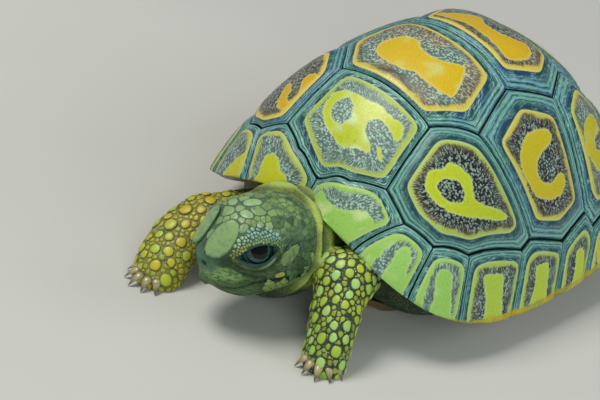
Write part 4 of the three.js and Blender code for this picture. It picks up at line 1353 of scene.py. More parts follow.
@dataclass
class Head:
    """The head. In its own frame it faces -Y, with the tip of the beak at the origin."""

    beak: tuple[float, float, float] = (-2.8, -47, 7.9)
    turn: float = -14.0
    nod: float = 14.0
    tilt: float = -3.0
    blend: float = 0.15
    trim: float = 0.16
    squareness: float = 2.2
    beak_squareness: float = 2.2
    jaw_squareness: float = 3.8
    # how far back, half width, top, bottom, and height of the widest place
    sections: tuple[tuple[float, ...], ...] = (
        (-0.3, 1, 4.6, 2.3, 3.4), (0.2, 2.2, 5.6, -0.4, 2.8), (1.5, 3.5, 6.8, -2.9, 2.2),
        (3.6, 4.8, 8.4, -4.1, 1.7), (6, 5.8, 9.65, -4.3, 1.6), (9, 6.8, 9.95, -4.2, 1.6),
        (12.5, 7.2, 9.1, -4, 1.6), (15.5, 6.7, 8, -3.4, 1.8), (18, 5, 6.2, -2.2, 1.8)
    )
    # where, how high and how wide; each is on both sides
    swellings: tuple[tuple[float, ...], ...] = (
        (4.3, 5.2, 7.4, 1.0, 2.6), (1.7, 2.4, 6.8, 0.4, 1.8), (6.8, 12, 0.5, 0.4, 3.0),
        (5.9, 6.6, 1.0, 0.25, 1.8), (0.2, 0.5, -0.9, 0.45, 1.1), (1.1, 0.6, 3.9, 0.3, 0.9)
    )
    eye: tuple[float, float, float] = (4.3, 7.0, 4.5)
    eye_radius: float = 2.5
    lid_radius: float = 2.88
    lid_length: float = 3.05  # half the slit's length
    lid_height: float = 1.36
    mouth_line: tuple[tuple[float, float], ...] = (
        (-1, -1.3), (1, -1.3), (3, -1.2), (4.6, -0.8), (5.8, -0.4), (8, -0.35), (10, -0.75), (12, -1.25),
        (13, -1.5)
    )

    # how far back and how high the horny sheath of the upper jaw ends
    sheath_line: tuple[tuple[float, float], ...] = (
        (-1, 3.6), (1.5, 3.0), (3.1, 2.4), (4.2, 1.4), (6.2, 0.7), (8, 0.0)
    )

    def __post_init__(self) -> None:
        """Places the head's frame, its box and the eye's directions."""
        a, b, c = (math.radians(v) for v in (self.turn, self.nod, self.tilt))
        turned = Matrix.Rotation(a, 3, "Z") @ Matrix.Rotation(b, 3, "X") @ Matrix.Rotation(c, 3, "Y")
        self.frame = np.array(turned)
        self.table = spline(np.array(self.sections, dtype=float), 90)
        corners = np.array([[x, y, z] for x in (-8.6, 8.6) for y in (-1.5, 21.0) for z in (-6.0, 12.0)])
        placed = self.world(corners)
        self.low, self.high = placed.min(axis=0), placed.max(axis=0)
        self.slit = np.array([0.37, 0.93, 0.05])
        self.look = unit(np.array([0.895, -0.266, 0.354]))
        self.gaze = unit(np.array([0.84, -0.18, 0.51]))
        self.slit = unit(self.slit - self.look * (self.slit @ self.look))
        self.lid_up = np.cross(self.look, self.slit)

    def world(self, local: Array) -> Array:
        """Places in the shared frame."""
        return local @ self.frame.T + np.array(self.beak)

    def local(self, places: Array) -> Array:
        """Places in the head's own frame."""
        return (places - np.array(self.beak)) @ self.frame

    def _fullness(self, local: Array) -> Array:
        """1 on the plain head, less inside."""
        back = self.table[:, 0]
        y = np.clip(local[:, 1], back[0], back[-1])
        wide, top, bottom, level = (np.interp(y, back, self.table[:, i]) for i in (1, 2, 3, 4))
        up = local[:, 2] - level
        reach = np.where(up > 0, top - level, level - bottom)
        beyond = np.where(local[:, 1] < y, (y - local[:, 1]) / 0.35, (local[:, 1] - y) / 2.5)
        below = self.beak_squareness + (self.jaw_squareness - self.beak_squareness) * ease(0.5, 5, y)
        power = np.where(up > 0, self.squareness, below)
        total = np.abs(local[:, 0] / wide) ** power + np.abs(up / reach) ** power + np.abs(beyond) ** power
        return total ** (1 / power)

    def eye_place(self, local: Array) -> tuple[Array, Array, Array, Array]:
        """Beside the nearer eye: along its slit, up, outwards, and the distance from its middle."""
        mirrored = np.column_stack([np.abs(local[:, 0]), local[:, 1:]])
        away = mirrored - np.array(self.eye)
        return away @ self.slit, away @ self.lid_up, away @ self.look, np.linalg.norm(away, axis=1)

    def slit_gap(self, along: Array, up: Array) -> Array:
        """Distance from the edge of the opening between the lids, negative within it."""
        height = self.lid_height * (1 - (along / self.lid_length) ** 2)
        return (np.abs(up + 0.28) - height) * 0.8

    def mouth(self, local: Array) -> Array:
        """Height above the line of the mouth."""
        line = np.array(self.mouth_line)
        return local[:, 2] - np.interp(local[:, 1], line[:, 0], line[:, 1])

    def over_sheath(self, local: Array) -> Array:
        """Height above the upper edge of the jaw's horny sheath."""
        line = np.array(self.sheath_line)
        return local[:, 2] - np.interp(local[:, 1], line[:, 0], line[:, 1])

    @staticmethod
    def drum(local: Array) -> Array:
        """0 in the middle of the ear's bare drum, 1 at its edge."""
        y, z = local[:, 1], local[:, 2]
        return np.hypot((y - 12.9 + 0.35 * z) / 1.25, z / 2.7) + 9 * (np.abs(local[:, 0]) < 4)

    def distance(self, places: Array) -> Array:
        """Distance of each place from the head's skin."""
        local = self.local(places)
        step = 0.06
        whole = self._fullness(local)
        slope = np.stack(
            [
                self._fullness(local + shift) - self._fullness(local - shift)
                for shift in np.eye(3) * step
            ],
            axis=1,
        ) / (2 * step)
        away = (whole - 1) / np.maximum(np.linalg.norm(slope, axis=1), 0.02) + self.trim
        x, y, z = np.abs(local[:, 0]), local[:, 1], local[:, 2]
        for at_x, at_y, at_z, rise, width in self.swellings:
            apart = np.sqrt((x - at_x) ** 2 + (y - at_y) ** 2 + (z - at_z) ** 2)
            away = away - rise * bell(apart, 0, width)
        # the mouth: a fine groove under a fuller upper lip, the lower jaw set in a little
        over = self.mouth(local)
        there = ease(12.6, 11.0, y)
        away = away - 0.22 * bell(over, 0.9, 0.8) * there
        away = (away + there * (0.5 * bell(over, 0, 0.2) + 0.2 * ease(0.1, -0.5, over) * ease(6, 1, y)))
        # drum of the ear, temple and the hollow between eye and nose
        away = (
            away + 0.3 * bell(self.drum(local), 0, 0.8) + 0.16 * bell(self.over_sheath(local), 0, 0.22)
            * (y > 2.8) * (y < 8)
        )
        for at, dip, width in (((6.6, 10.4, 4.6), 0.25, 1.6), ((3.6, 3.2, 4.6), 0.35, 1.3)):
            apart = np.sqrt((x - at[0]) ** 2 + (y - at[1]) ** 2 + (z - at[2]) ** 2)
            away = away + dip * bell(apart, 0, width)
        nostril = np.sqrt((x - 1.0) ** 2 + (y - 0.0) ** 2 + (z - 3.3) ** 2) - 0.42
        away = soft_max(away, -nostril, 0.2)
        # the eye: lids over the ball, then the slit and the ball's own room
        along, up, out, radius = self.eye_place(local)
        away = soft_min(away, radius - self.lid_radius, 1.3)
        gap = self.slit_gap(along, up)
        below = ease(0.3, -0.5, up) * (out > -0.6) * (y < 11.5)
        for at, depth, width in ((0.7, 0.1, 0.14), (1.35, 0.2, 0.2), (2.05, 0.12, 0.18), (2.7, 0.12, 0.2)):
            away = away + depth * bell(gap, at, width) * below
        away = away - 0.12 * bell(gap, 0.45, 0.25) * ease(-0.2, 0.6, up) * (out > 0)
        opening = np.maximum(self.slit_gap(along, up), 1.0 - out)
        away = soft_max(away, -opening, 0.22)
        return soft_max(away, self.eye_radius + 0.07 - radius, 0.08)


FORELEG_LEFT = (
    Limb(((8.5, -18, 8, 4, 4), (10, -25, 9.4, 4.6, 4.2), (11.4, -31, 10.2, 4.8, 4)), (0.86, -0.5, 0)),
    Limb(
        (
            (11.4, -31, 10.2, 4.8, 4), (13.6, -34.6, 6.6, 4.9, 3.5), (15.4, -37.2, 3, 4.6, 3.3),
            (16.2, -38.6, 0, 4.3, 3.5)
        ),
        (0.86, -0.5, 0)
    )
)
FORELEG_RIGHT = (
    Limb(
        ((-8.5, -18, 7.2, 4, 3.6), (-11.4, -26.5, 7.8, 4.4, 3.6), (-14.8, -34.2, 6.9, 4.5, 3.4)),
        (0.97, 0.24, 0)
    ),
    Limb(
        (
            (-14.8, -34.2, 6.9, 4.5, 3.4), (-15.3, -38.4, 5.4, 4.6, 3.2), (-14.5, -42.4, 2.8, 4.6, 3.1),
            (-13.8, -44.4, 0, 4.2, 3.5)
        ),
        (0.97, 0.24, 0)
    )
)


def hind_leg(side: Side) -> tuple[Limb, Limb]:
    """Thigh and foot of one hind leg."""
    s = side.value
    thigh = ((8 * s, 15, 7, 5, 4.2), (14.6 * s, 21.5, 6.6, 5, 4.2), (19 * s, 26, 4.8, 4.2, 3.6))
    foot = ((19 * s, 26, 4.8, 4.2, 3.6), (20.2 * s, 27.4, 2.4, 4, 4), (20.6 * s, 27.6, 0, 3.9, 4.1))
    return Limb(thigh, (0.8, 0.6 * s, 0)), Limb(foot, (0.8, 0.6 * s, 0))


@dataclass
class Flesh:
    """The whole soft body as one distance field, with what is needed to draw and dress it."""

    head: Head = field(default_factory=Head)
    neck: Neck = field(
        default_factory=lambda: Neck(
            (
                (0, -16, 8.6, 6.5, 5.5), (0, -23, 9.6, 7.2, 6.6), (-0.2, -28.6, 10.6, 8, 7.8),
                (-0.7, -33.4, 11, 8.5, 8.6), (-1.2, -36.8, 10.4, 7.2, 7.6)
            ),
            (1, 0, 0)
        )
    )
    tail: Limb = field(
        default_factory=lambda: Limb(
            (
                (0, 26, 6, 3.6, 3), (0.4, 31.4, 5.4, 2.8, 2.4), (1.6, 35.4, 3.6, 1.7, 1.5),
                (3.4, 37.8, 2, 0.6, 0.6)
            ),
            (1, 0, 0)
        )
    )
    sole: float = 0.03  # height of the soles over the floor

    def __post_init__(self) -> None:
        """Gathers the lumps that the skin is drawn over."""
        legs = (*FORELEG_LEFT, *FORELEG_RIGHT, *hind_leg(Side.LEFT), *hind_leg(Side.RIGHT))
        self.masses: tuple[Mass, ...] = (Torso(), self.neck, *legs, self.tail)

    def distance(self, places: Array) -> Array:
        """Distance of each place from the skin, negative inside."""
        best = np.full(len(places), 6.0)
        for mass in self.masses:
            self._join(best, places, mass)
        best = soft_max(best, self.sole - places[:, 2], 0.5)
        self._join(best, places, self.head)
        return best

    @staticmethod
    def _join(best: Array, places: Array, mass: Mass) -> None:
        """Blends one lump into `best`, the distances found so far."""
        near = ((places > mass.low - 2) & (places < mass.high + 2)).all(axis=1)
        if near.any():
            best[near] = soft_min(best[near], mass.distance(places[near]), mass.blend)

    def normal(self, places: Array, step: float = 0.03) -> Array:
        """The way out of the skin at each place."""
        return unit(
            np.stack(
                [self.distance(places + s) - self.distance(places - s) for s in np.eye(3) * step], axis=1
            )
        )

    def settle(self, places: Array, rounds: int = 2) -> tuple[Array, Array]:
        """Places moved onto the skin, and the way out of it there."""
        for _ in range(rounds):
            way = self.normal(places)
            places = places - way * np.clip(self.distance(places), -0.25, 0.25)[:, None]
        return places, way


@dataclass
class Lattice:
    """A grid with finer steps where the flesh shows, and the surface drawn through it."""

    axes: tuple[tuple[tuple[float, float, float], ...], ...]  # start, end and step of each run

    def lines(self) -> list[Array]:
        """The grid's places along each axis."""
        return [
            np.unique(
                np.concatenate([np.linspace(a, b, int(round((b - a) / s)) + 1) for a, b, s in runs])
            )
            for runs in self.axes
        ]

    def surface(self, flesh: Flesh) -> tuple[Array, Array]:
        """One vertex in each cell that the skin crosses, and quads between them."""
        lines = self.lines()
        grid = np.stack(np.meshgrid(*lines, indexing="ij"), axis=-1).reshape(-1, 3)
        values = np.concatenate([flesh.distance(part) for part in np.array_split(grid, 16)])
        values = values.reshape([len(line) for line in lines])
        inside = values < 0
        cells = tuple(n - 1 for n in values.shape)
        corners = [(i, j, k) for i in (0, 1) for j in (0, 1) for k in (0, 1)]

        def part(array: Array, corner: tuple[int, int, int]) -> Array:
            """The array's values at one corner of every cell."""
            return array[tuple(slice(c, c + n) for c, n in zip(corner, cells))]

        crossings = sum(part(inside, corner).astype(np.int8) for corner in corners)
        where = np.argwhere((crossings > 0) & (crossings < 8))
        number = np.full(cells, -1, dtype=np.int64)
        number[tuple(where.T)] = np.arange(len(where))
        total, hits = np.zeros((len(where), 3)), np.zeros(len(where))
        for a in range(8):
            for b in range(a + 1, 8):
                first, second = np.array(corners[a]), np.array(corners[b])
                if np.abs(first - second).sum() != 1:
                    continue
                low = values[tuple((where + first).T)]
                high = values[tuple((where + second).T)]
                crossed = (low < 0) != (high < 0)
                t = np.where(crossed, low / np.where(crossed, low - high, 1), 0)
                spot = first + (second - first) * t[:, None]
                total += np.where(crossed[:, None], spot, 0)
                hits += crossed
        spot = total / hits[:, None]
        points = np.stack(
            [
                line[where[:, i]] + (line[where[:, i] + 1] - line[where[:, i]]) * spot[:, i] for i,
                line in enumerate(lines)
            ],
            axis=1
        )
        quads = [self._between(inside, number, axis) for axis in range(3)]
        return points, np.concatenate(quads)

    @staticmethod
    def _between(inside: Array, number: Array, axis: int) -> Array:
        """The quads that cross the grid's edges along one axis."""
        second, third = (axis + 1) % 3, (axis + 2) % 3
        turned = np.moveaxis(inside, (axis, second, third), (0, 1, 2))[:, 1:-1, 1:-1]
        found = np.argwhere(turned[:-1] != turned[1:])
        entering = turned[tuple(found.T)]
        ring = []
        for b, c in ((0, 0), (1, 0), (1, 1), (0, 1)):
            cell = np.zeros_like(found)
            cell[:, axis] = found[:, 0]
            cell[:, second] = found[:, 1] + b
            cell[:, third] = found[:, 2] + c
            ring.append(number[tuple(cell.T)])
        quads = np.stack(ring, axis=1)
        return np.where(entering[:, None], quads, quads[:, ::-1])


SKIN_LATTICE = Lattice(
    (
        ((-27, -10, 0.45), (-10, 8.4, 0.23), (8.4, 27, 0.45)),
        ((-51, -29.5, 0.23), (-29.5, -24, 0.45), (-24, 14, 1.3), (14, 39.5, 0.6)),
        ((-0.6, 3.6, 0.4), (3.6, 21, 0.23), (21, 23, 0.6))
    )
)


@dataclass
class Skin:
    """One skin over head, neck, trunk, legs and tail."""

    flesh: Flesh
    finish: Finish
    nodes: tuple[str, ...] = (
        "trunk", "neck", "tail", "head", "lower_jaw", "foreleg_left_upper", "foreleg_left_foot",
        "foreleg_right_upper", "foreleg_right_foot", "hindleg_left_upper", "hindleg_left_foot",
        "hindleg_right_upper", "hindleg_right_foot"
    )

    def build(self) -> None:
        """Draws the skin and stands it for the flesh nodes."""
        points, quads = SKIN_LATTICE.surface(self.flesh)
        self.points, self.normals = self.flesh.settle(points)
        self.points[:, 2] = np.maximum(self.points[:, 2], self.flesh.sole)
        Piece("skin", self.points, [quads], self.values(self.points)).build(
            self.finish, "skin", self.nodes
        )

    def values(self, places: Array) -> dict[str, Array]:
        """What the finish needs to know at each place."""
        head = self.flesh.head
        local = head.local(places)
        x, y, z = np.abs(local[:, 0]), local[:, 1], local[:, 2]
        along, up, out, radius = head.eye_place(local)
        behind = self.flesh.neck.behind(places)
        own = head.distance(places) < 0.05
        gap = head.slit_gap(along, up)
        lidded = own & (out > 0.4) & (radius < head.lid_radius + 0.35)
        over = head.mouth(local)
        edge = head.over_sheath(local)
        sheath = ease(0.3, -0.25, edge) * ease(-0.1, 0.2, over) * ease(7.6, 6.4, y)
        jaw = ease(0.0, -0.3, over) * ease(-3.2, -2.0, over) * ease(7.5, 5.0, y)
        # the sheath's colour is strongest high up at the front and fades lower down, towards the back and on the jaw:
        # painted light above, painted shade below
        lips = sheath * ease(5.8, 3.2, y) * (0.22 + 0.78 * ease(0.9, 2.6, over)) + 0.27 * jaw
        lower_lid = (
            ease(-0.1, -0.6, up) * ease(3.0, 2.2, gap) * (np.abs(along) < 4) * (out > -0.8) * own
        )
        line = bell(over, 0, 0.24 + 0.1 * ease(4, 7, y)) * ease(13.2, 12.4, y) * own
        nostril = bell(np.sqrt((x - 1.0) ** 2 + y**2 + (z - 3.3) ** 2), 0, 0.5) * own
        snout = ease(3.2, 1.2, y + 0.4 * x) * ease(1.6, 2.6, z) * ease(6.0, 4.6, z) * own
        drum = bell(head.drum(local), 0, 0.9) * own
        crease = bell(edge, 0.05, 0.34) * ease(2.4, 3.2, y) * ease(8, 7.4, y) * own
        ridge = bell(behind, 0.5, 0.5) + 0.8 * bell(behind, 2.7, 1.0)
        collar = np.clip(ridge, 0, 1) * ~own * (np.abs(places[:, 0] + 0.6) < 9.5) * (places[:, 1] < -28)
        return {
            "head": own.astype(float), "fold": collar * ease(5.0, 9.0, places[:, 2]),
            "speck": (self.flesh.neck.distance(places) > 0.6) * (places[:, 1] < -26)
            * (places[:, 2] < 16),
            "sunny": ease(-8.0, -10.5, places[:, 0]) * (places[:, 1] < -22),
            "beak": np.clip(lips * own, 0, 1),
            # darker low on the head's sides: painted shade
            "cheek": ease(6.4, 4.0, z) * ease(0.6, 2.4, x + 0.4 * np.maximum(y - 1, 0)) * own,
            "snout": np.clip(snout, 0, 1),
            # deep: painted shade in the mouth line, the nostril pits, the crease along the jaw's sheath and the lower
            # lid's fold; the ear drum is darkened too
            "deep": np.clip(
                line + nostril + 0.85 * drum + 0.8 * crease + 0.7 * bell(gap, 1.35, 0.2) * lower_lid, 0, 1
            ),
            "wrinkle": np.clip(lower_lid, 0, 1) * ease(-0.3, 0.1, over),
            "lid": ease(0.62, 0.3, gap) * lidded,
            "rim": 0.8 * bell(gap, 0.7, 0.2) * lidded * (up < 0.3) * ease(-0.5, 1.6, along)
        }


# ---- the scales ------------------------------------------------------------------------------
@dataclass(frozen=True)
class Shield:
    """A large scale, placed one by one, oval, with its own colour."""

    at: tuple[float, float, float]
    half_length: float
    half_width: float
    along: tuple[float, float, float] = (0.0, 1.0, 0.0)
    taper: float = 0.0  # how much narrower its rear end is than its front end
    tone: float = 0.4
    gold: float = 0.0
    pale: float = 0.0
    dusk: float = 0.1


@dataclass
class ScaleCoat:
    """Scales of one region: small domed closed meshes that grow from the skin."""

    name: str
    flesh: Flesh
    places: Array  # where scales may stand, on the skin
    sizes: Array  # their radius at each place, 0 for none
    unwrap: Callable[[Array], Array]  # the skin's own map, 0 to 1 each way
    look: Callable[[Array, Array, np.random.Generator], dict[str, Array]]
    shields: Sequence[Shield] = ()
    sides: int = 14
    rise: float = 0.36  # its height, of its radius
    gap: float = 0.09
    swell: float = 1.0  # how many times its radius a scale spreads where it has room
    slack: float = 0.2  # and how far beyond that
    oval: float = 0.0  # how much longer they are upwards, of their radius
    crisp: float = 10.0  # sharpness of its corners
    loose: float = 0.0  # if set, large scales are strewn first, at least this far apart
    seed: int = 4
    patch: float = 0.0015

    def build(self, finish: Finish, slot: str) -> None:
        """Makes the piece."""
        seeds, radii = self._seeds()
        seeds, normals = self.flesh.settle(seeds)
        rng = np.random.default_rng(self.seed + 1)
        tangent = unit(np.cross(normals, np.array([0.31, 0.2, 0.93])))
        other = np.cross(normals, tangent)
        reach, turns = self._outlines(seeds, radii, tangent, other)
        drawn = np.isfinite(radii) & (np.arange(len(radii)) >= self.ghosts)
        seeds, radii, normals = seeds[drawn], radii[drawn], normals[drawn]
        tangent, other, reach, turns = tangent[drawn], other[drawn], reach[drawn], turns[drawn]
        ring = (
            tangent[:, None] * (np.cos(turns) * reach)[..., None]
            + other[:, None] * (np.sin(turns) * reach)[..., None]
        )
        rim, outward = self.flesh.settle((seeds[:, None] + ring).reshape(-1, 3), 1)
        rim, outward = rim.reshape(ring.shape), outward.reshape(ring.shape)
        height = (self.rise * radii * rng.uniform(0.85, 1.15, len(radii)))[:, None, None]
        lean = unit(outward * 0.5 + normals[:, None])
        centre = seeds[:, None]
        sag = np.maximum(((centre - rim) * normals[:, None]).sum(axis=2), 0)[..., None]
        rings = [
            centre + (rim - centre) * 0.96 - outward * 0.22, rim + outward * 0.02,
            *(
                centre + (rim - centre) * share + lean * (height * lift + sag * (share - share**2))
                for share,
                lift in ((0.92, 0.5), (0.76, 0.82), (0.4, 0.97))
            )
        ]
        points = np.concatenate(
            [*rings, centre - normals[:, None] * 0.25, centre + normals[:, None] * height], axis=1
        )
        each = points.shape[1]
        points[..., 2] = np.maximum(points[..., 2], 0.012)
        k = self.sides
        quads, fans = capped(5, k)
        start = (np.arange(len(seeds)) * each)[:, None, None]
        share = np.concatenate([np.repeat([1.0, 1.0, 0.92, 0.76, 0.4], k), [1.0, 0.0]])
        looks = self.look(seeds, radii, rng)
        for i, shield in enumerate(self.shields):
            for key in looks:
                looks[key][i] = getattr(shield, key)
        values = {key: np.repeat(number, each) for key, number in looks.items()}
        values["share"] = np.tile(share, len(seeds))
        spot = np.clip(self.unwrap(seeds), 0.02, 0.98)
        around = np.concatenate([np.tile(np.arange(k) / k * 2 * np.pi, 5), [0, 0]])
        small = np.stack([np.cos(around), np.sin(around)], axis=-1) * share[:, None] * self.patch
        small[-2:] = 0
        local = (spot[:, None] + small[None]).reshape(-1, 2)
        faces = [(quads + start).reshape(-1, 4), (fans + start).reshape(-1, 3)]
        baked = np.concatenate([local[f.ravel()] for f in faces])
        piece = Piece(self.name, points.reshape(-1, 3), faces, values, {"OFBake": baked})
        piece.build(finish, slot)
        LOG.info("%s: %d scales", self.name, len(seeds))

    def _seeds(self) -> tuple[Array, Array]:
        """Places packed as closely as their sizes let them, the shields first."""
        held = self.sizes > 0
        rng = np.random.default_rng(self.seed)
        order = rng.permutation(int(held.sum()))
        places, sizes = self.places[held][order], self.sizes[held][order]
        ends = [
            (
                np.array(s.at) + np.array(s.along) * side * (s.half_length - 0.8 * s.half_width),
                0.8 * s.half_width
            )
            for s in self.shields for side in (-1, 1)
        ]
        self.ghosts = len(ends)
        middles = [(np.array(s.at), s.half_width) for s in self.shields]
        chosen = [at for at, _ in [*ends, *middles]]
        radii = [size for _, size in [*ends, *middles]]
        nearest = np.full(len(places), 9.0)
        for at, size in zip(chosen, radii):
            nearest = np.minimum(nearest, np.linalg.norm(places - at, axis=1) / (size + sizes))
        if not chosen:
            chosen, radii = [places[0]], [sizes[0]]
            nearest = np.linalg.norm(places - places[0], axis=1) / (2 * sizes)
        for pick in np.flatnonzero(sizes > 0.62) if self.loose else ():
            apart = np.linalg.norm(np.array(chosen) - places[pick], axis=1)
            if (apart > self.loose * (np.array(radii) + sizes[pick])).all():
                chosen.append(places[pick])
                radii.append(sizes[pick])
                nearest = np.minimum(
                    nearest, np.linalg.norm(places - places[pick], axis=1) / (sizes[pick] + sizes)
                )
        while True:
            open_ = np.where(nearest >= 0.97, nearest, 99)
            pick = int(np.argmin(open_))
            if open_[pick] > 50:
                break
            chosen.append(places[pick])
            radii.append(sizes[pick])
            near = np.linalg.norm(places - places[pick], axis=1) / (sizes[pick] + sizes)
            nearest = np.minimum(nearest, near)
        return np.array(chosen), np.array(radii)

    def _outlines(self, seeds: Array, radii: Array, tangent: Array, other: Array) -> tuple[Array, Array]:
        """Each scale's outline: a rounded polygon that shares the ground with its neighbours."""
        turns = np.arange(self.sides)[None, :] / self.sides * 2 * np.pi
        reach = np.empty((len(seeds), self.sides))
        for part in np.array_split(np.arange(len(seeds)), max(len(seeds) // 400, 1)):
            away = seeds[None] - seeds[part][:, None]
            apart = np.linalg.norm(away, axis=2)
            apart[np.arange(len(part)), part] = 99
            close = np.argsort(apart - radii[None], axis=1)[:, :10]
            rows = np.arange(len(part))[:, None]
            line, apart = away[rows, close], apart[rows, close]
            u = (line * tangent[part][:, None]).sum(axis=2)
            v = (line * other[part][:, None]).sum(axis=2)
            bearing = np.arctan2(v, u)
            mine = radii[part][:, None]
            middle = np.maximum(apart * mine / (mine + radii[close]) - self.gap / 2, 0.05)
            facing = np.maximum(np.cos(turns[:, :, None] - bearing[:, None]), 0) / middle[:, None]
            lie = np.arctan2(other[part][:, 2], tangent[part][:, 2])
            limit = (mine * self.swell + self.slack) * (1 + self.oval * np.cos(2 * (turns - lie[:, None])))
            total = (facing**self.crisp).sum(axis=2) + limit**-self.crisp
            reach[part] = total ** (-1 / self.crisp)
        for i, shield in enumerate(self.shields, start=self.ghosts):
            line = np.array(shield.along)
            bearing = math.atan2(float(line @ other[i]), float(line @ tangent[i]))
            u = np.cos(turns[0] - bearing) / (shield.half_length - self.gap / 2)
            width = (shield.half_width - self.gap / 2) * (1 - shield.taper * np.cos(turns[0] - bearing))
            v = np.sin(turns[0] - bearing) / width
            reach[i] = (np.abs(u) ** 2.3 + np.abs(v) ** 2.3) ** (-1 / 2.3)
        return reach, np.broadcast_to(turns, reach.shape)


# ---- the scales' places and looks -------------------------------------------------------------
@dataclass
class Coats:
    """All the scales: on the head, round the eyes, on the legs and the tail."""

    flesh: Flesh
    skin: Skin

    def build(self) -> None:
        """Makes each region's scales."""
        places, normals = self.skin.points, self.skin.normals
        low, high = places.min(axis=0), places.max(axis=0)
        head_finish = ScaleFinish("head_scale_horn", foot_from=0.86).material()
        # the granules' pale colour serves as their painted wet highlight
        bead_finish = ScaleFinish(
            "eyelid_granule_horn", cool="#548577", warm="#8a9a4a", foot="#2f4c45", pale="#b4d2c4",
            rough=0.25, blotted=0.0
        ).material()
        leg_finish = ScaleFinish(
            "leg_scale_horn", cool="#8fba4c", warm="#a9b02a", gold="#c2a31c", foot="#4d5523",
            dark="#4f5426", pale="#a8d08c", blot="#86923a", blotted=0.3
        ).material()

        def whole(at: Array) -> Array:
            """The body's map: the plan, 0 to 1 each way."""
            return (at[:, :2] - low[:2]) / (high - low)[:2]

        ScaleCoat(
            "scales_head", self.flesh, places, self._head_sizes(places), self._head_map, self._head_look,
            self._shields(), sides=20, rise=0.11, gap=0.07, swell=1.75, slack=0.04, crisp=16, seed=7
        ).build(head_finish, "head")
        ScaleCoat(
            "granules_eyelids", self.flesh, places, self._lid_sizes(places), self._head_map,
            self._lid_look, sides=8, rise=0.5, gap=0.04, slack=0.1, seed=3
        ).build(bead_finish, "head")
        for name, side in (("foreleg_left", 1), ("foreleg_right", -1)):
            sizes = self._foreleg_sizes(places, normals, side)
            ScaleCoat(
                f"scales_{name}", self.flesh, places, sizes, whole, self._leg_look, rise=0.28, gap=0.1,
                slack=0.14, loose=1.1, oval=0.13 + 0.06 * side, seed=5 + side
            ).build(leg_finish, "leg")
        ScaleCoat(
            "scales_hindlegs", self.flesh, places, self._hind_sizes(places, normals), whole,
            self._leg_look, sides=12, rise=0.3, gap=0.12, loose=1.1, seed=9
        ).build(leg_finish, "leg")

    # -- the head
    def _head_map(self, places: Array) -> Array:
        """The head's map: turn round its axis, and way back from the beak."""
        local = self.flesh.head.local(places)
        turn = np.arctan2(local[:, 0], local[:, 2] + 1.0) / (2 * np.pi) + 0.5
        return np.stack([turn, 0.04 + local[:, 1] / 22.0], axis=-1)

    def _own(self, places: Array) -> Array:
        """Whether each place is on the head itself."""
        return (self.flesh.head.distance(places) < 0.06) & (self.flesh.neck.behind(places) < 1.5)

    def _head_sizes(self, places: Array) -> Array:
        """Radius of the scale at each place of the head, 0 on its bare parts."""
        head = self.flesh.head
        local = head.local(places)
        x, y, z = np.abs(local[:, 0]), local[:, 1], local[:, 2]
        along, up, out, radius = head.eye_place(local)
        over = head.mouth(local)
        rng = np.random.default_rng(31)
        varied = rng.choice([0.7, 0.9, 1.15, 1.4], len(places))
        size = np.full(len(places), 0.5) * varied
        size = np.where(z > 6.2, 0.72 * varied, size)  # crown
        size = np.where((z > 5.5) & (y > 11.5), 0.42 * varied, size)
        brow = (np.hypot(x - 4.4, y - 6.6) < 2.4) & (z > 6.0)
        size = np.where(brow, 0.5, size)
        size = np.where(head.drum(local) < 1, 0.2, size)
        size = np.where((over < 0) & (y > 4), 0.42, size)
        lidded = (radius < head.lid_radius + 0.3) & (out > 0.1)
        beak = (y + 0.5 * np.maximum(z - 3, 0) < 4.2) & (z < 6.2)
        sheath = (head.over_sheath(local) < 0.4) & (over > -3.0) & (y < 7.5)
        lips = (np.abs(over) < 0.62) & (y < 12.8)
        gap = head.slit_gap(along, up)
        wrinkled = (up < -0.2) & (gap < 2.5) & (np.abs(along) < 3.6) & (out > -0.8)
        keep = self._own(places) & ~lidded & ~beak & ~sheath & ~lips & ~wrinkled & (y > 1.6)
        size = np.where((radius < head.lid_radius + 2.3) & (z > 4), np.minimum(size, 0.42), size)
        rim = (radius < head.lid_radius + 1.3) & (out > -0.2) & (up > -0.3)
        return np.where(keep & ~rim, size, 0)

    def _shields(self) -> list[Shield]:
        """The large scales of the head, settled on its skin."""
        rising = (0.0, 0.8, 0.6)
        placed = []
        for side in (1, -1):
            placed += [
                Shield((side * 2.1, 3.1, 6.9), 3.5, 2.08, rising, 0.1, 0.25, 0, 0.22, 0.05),
                Shield((side * 3.75, 5.5, 8.8), 0.95, 0.7, rising, 0, 0.0, 0, 0.35, 0.3),
                Shield((side * 2.0, 7.2, 9.6), 1.2, 0.8, (side * 0.9, 0.4, 0.1), 0.1, 0.2, 0, 0.4, 0.05),
                Shield((side * 7.1, 11.2, 3.2), 2.1, 1.0, rising, 0.12, 0.5, 0.0, 0, 0.3),
                Shield((side * 7.1, 9.2, 0.35), 0.86, 0.52, (0.1, 0.99, 0.1), 0, 1.0, 0.5, 0, 0.0)
            ]
        placed.append(Shield((0.2, 9.4, 10.1), 1.6, 1.0, (0.3, 0.95, 0), 0, 0.2, 0, 0.5, 0.0))
        head = self.flesh.head
        at, way = self.flesh.settle(head.world(np.array([s.at for s in placed])), 8)
        lines = np.array([s.along for s in placed]) @ head.frame.T
        lines = unit(lines - way * dot(lines, way)[:, None])
        return [
            replace(shield, at=tuple(place), along=tuple(line))
            for shield, place, line in zip(placed, at, lines)
        ]

    def _head_look(self, places: Array, radii: Array, rng: np.random.Generator) -> dict[str, Array]:
        """Colours of the head's scales: greener on the crown and paler there, partly painted light; darker low on the
        head, painted shade; dark at the drum.
        """
        head = self.flesh.head
        local = head.local(places)
        x, y, z = np.abs(local[:, 0]), local[:, 1], local[:, 2]
        count = len(x)
        crown = ease(4.5, 7.5, z)
        rear = ease(9.5, 13.0, y) * crown
        drum = bell(head.drum(local), 0, 0.9)
        brow = bell(np.hypot(x - 4.4, y - 6.6), 0, 2.6) * ease(5.5, 7, z)
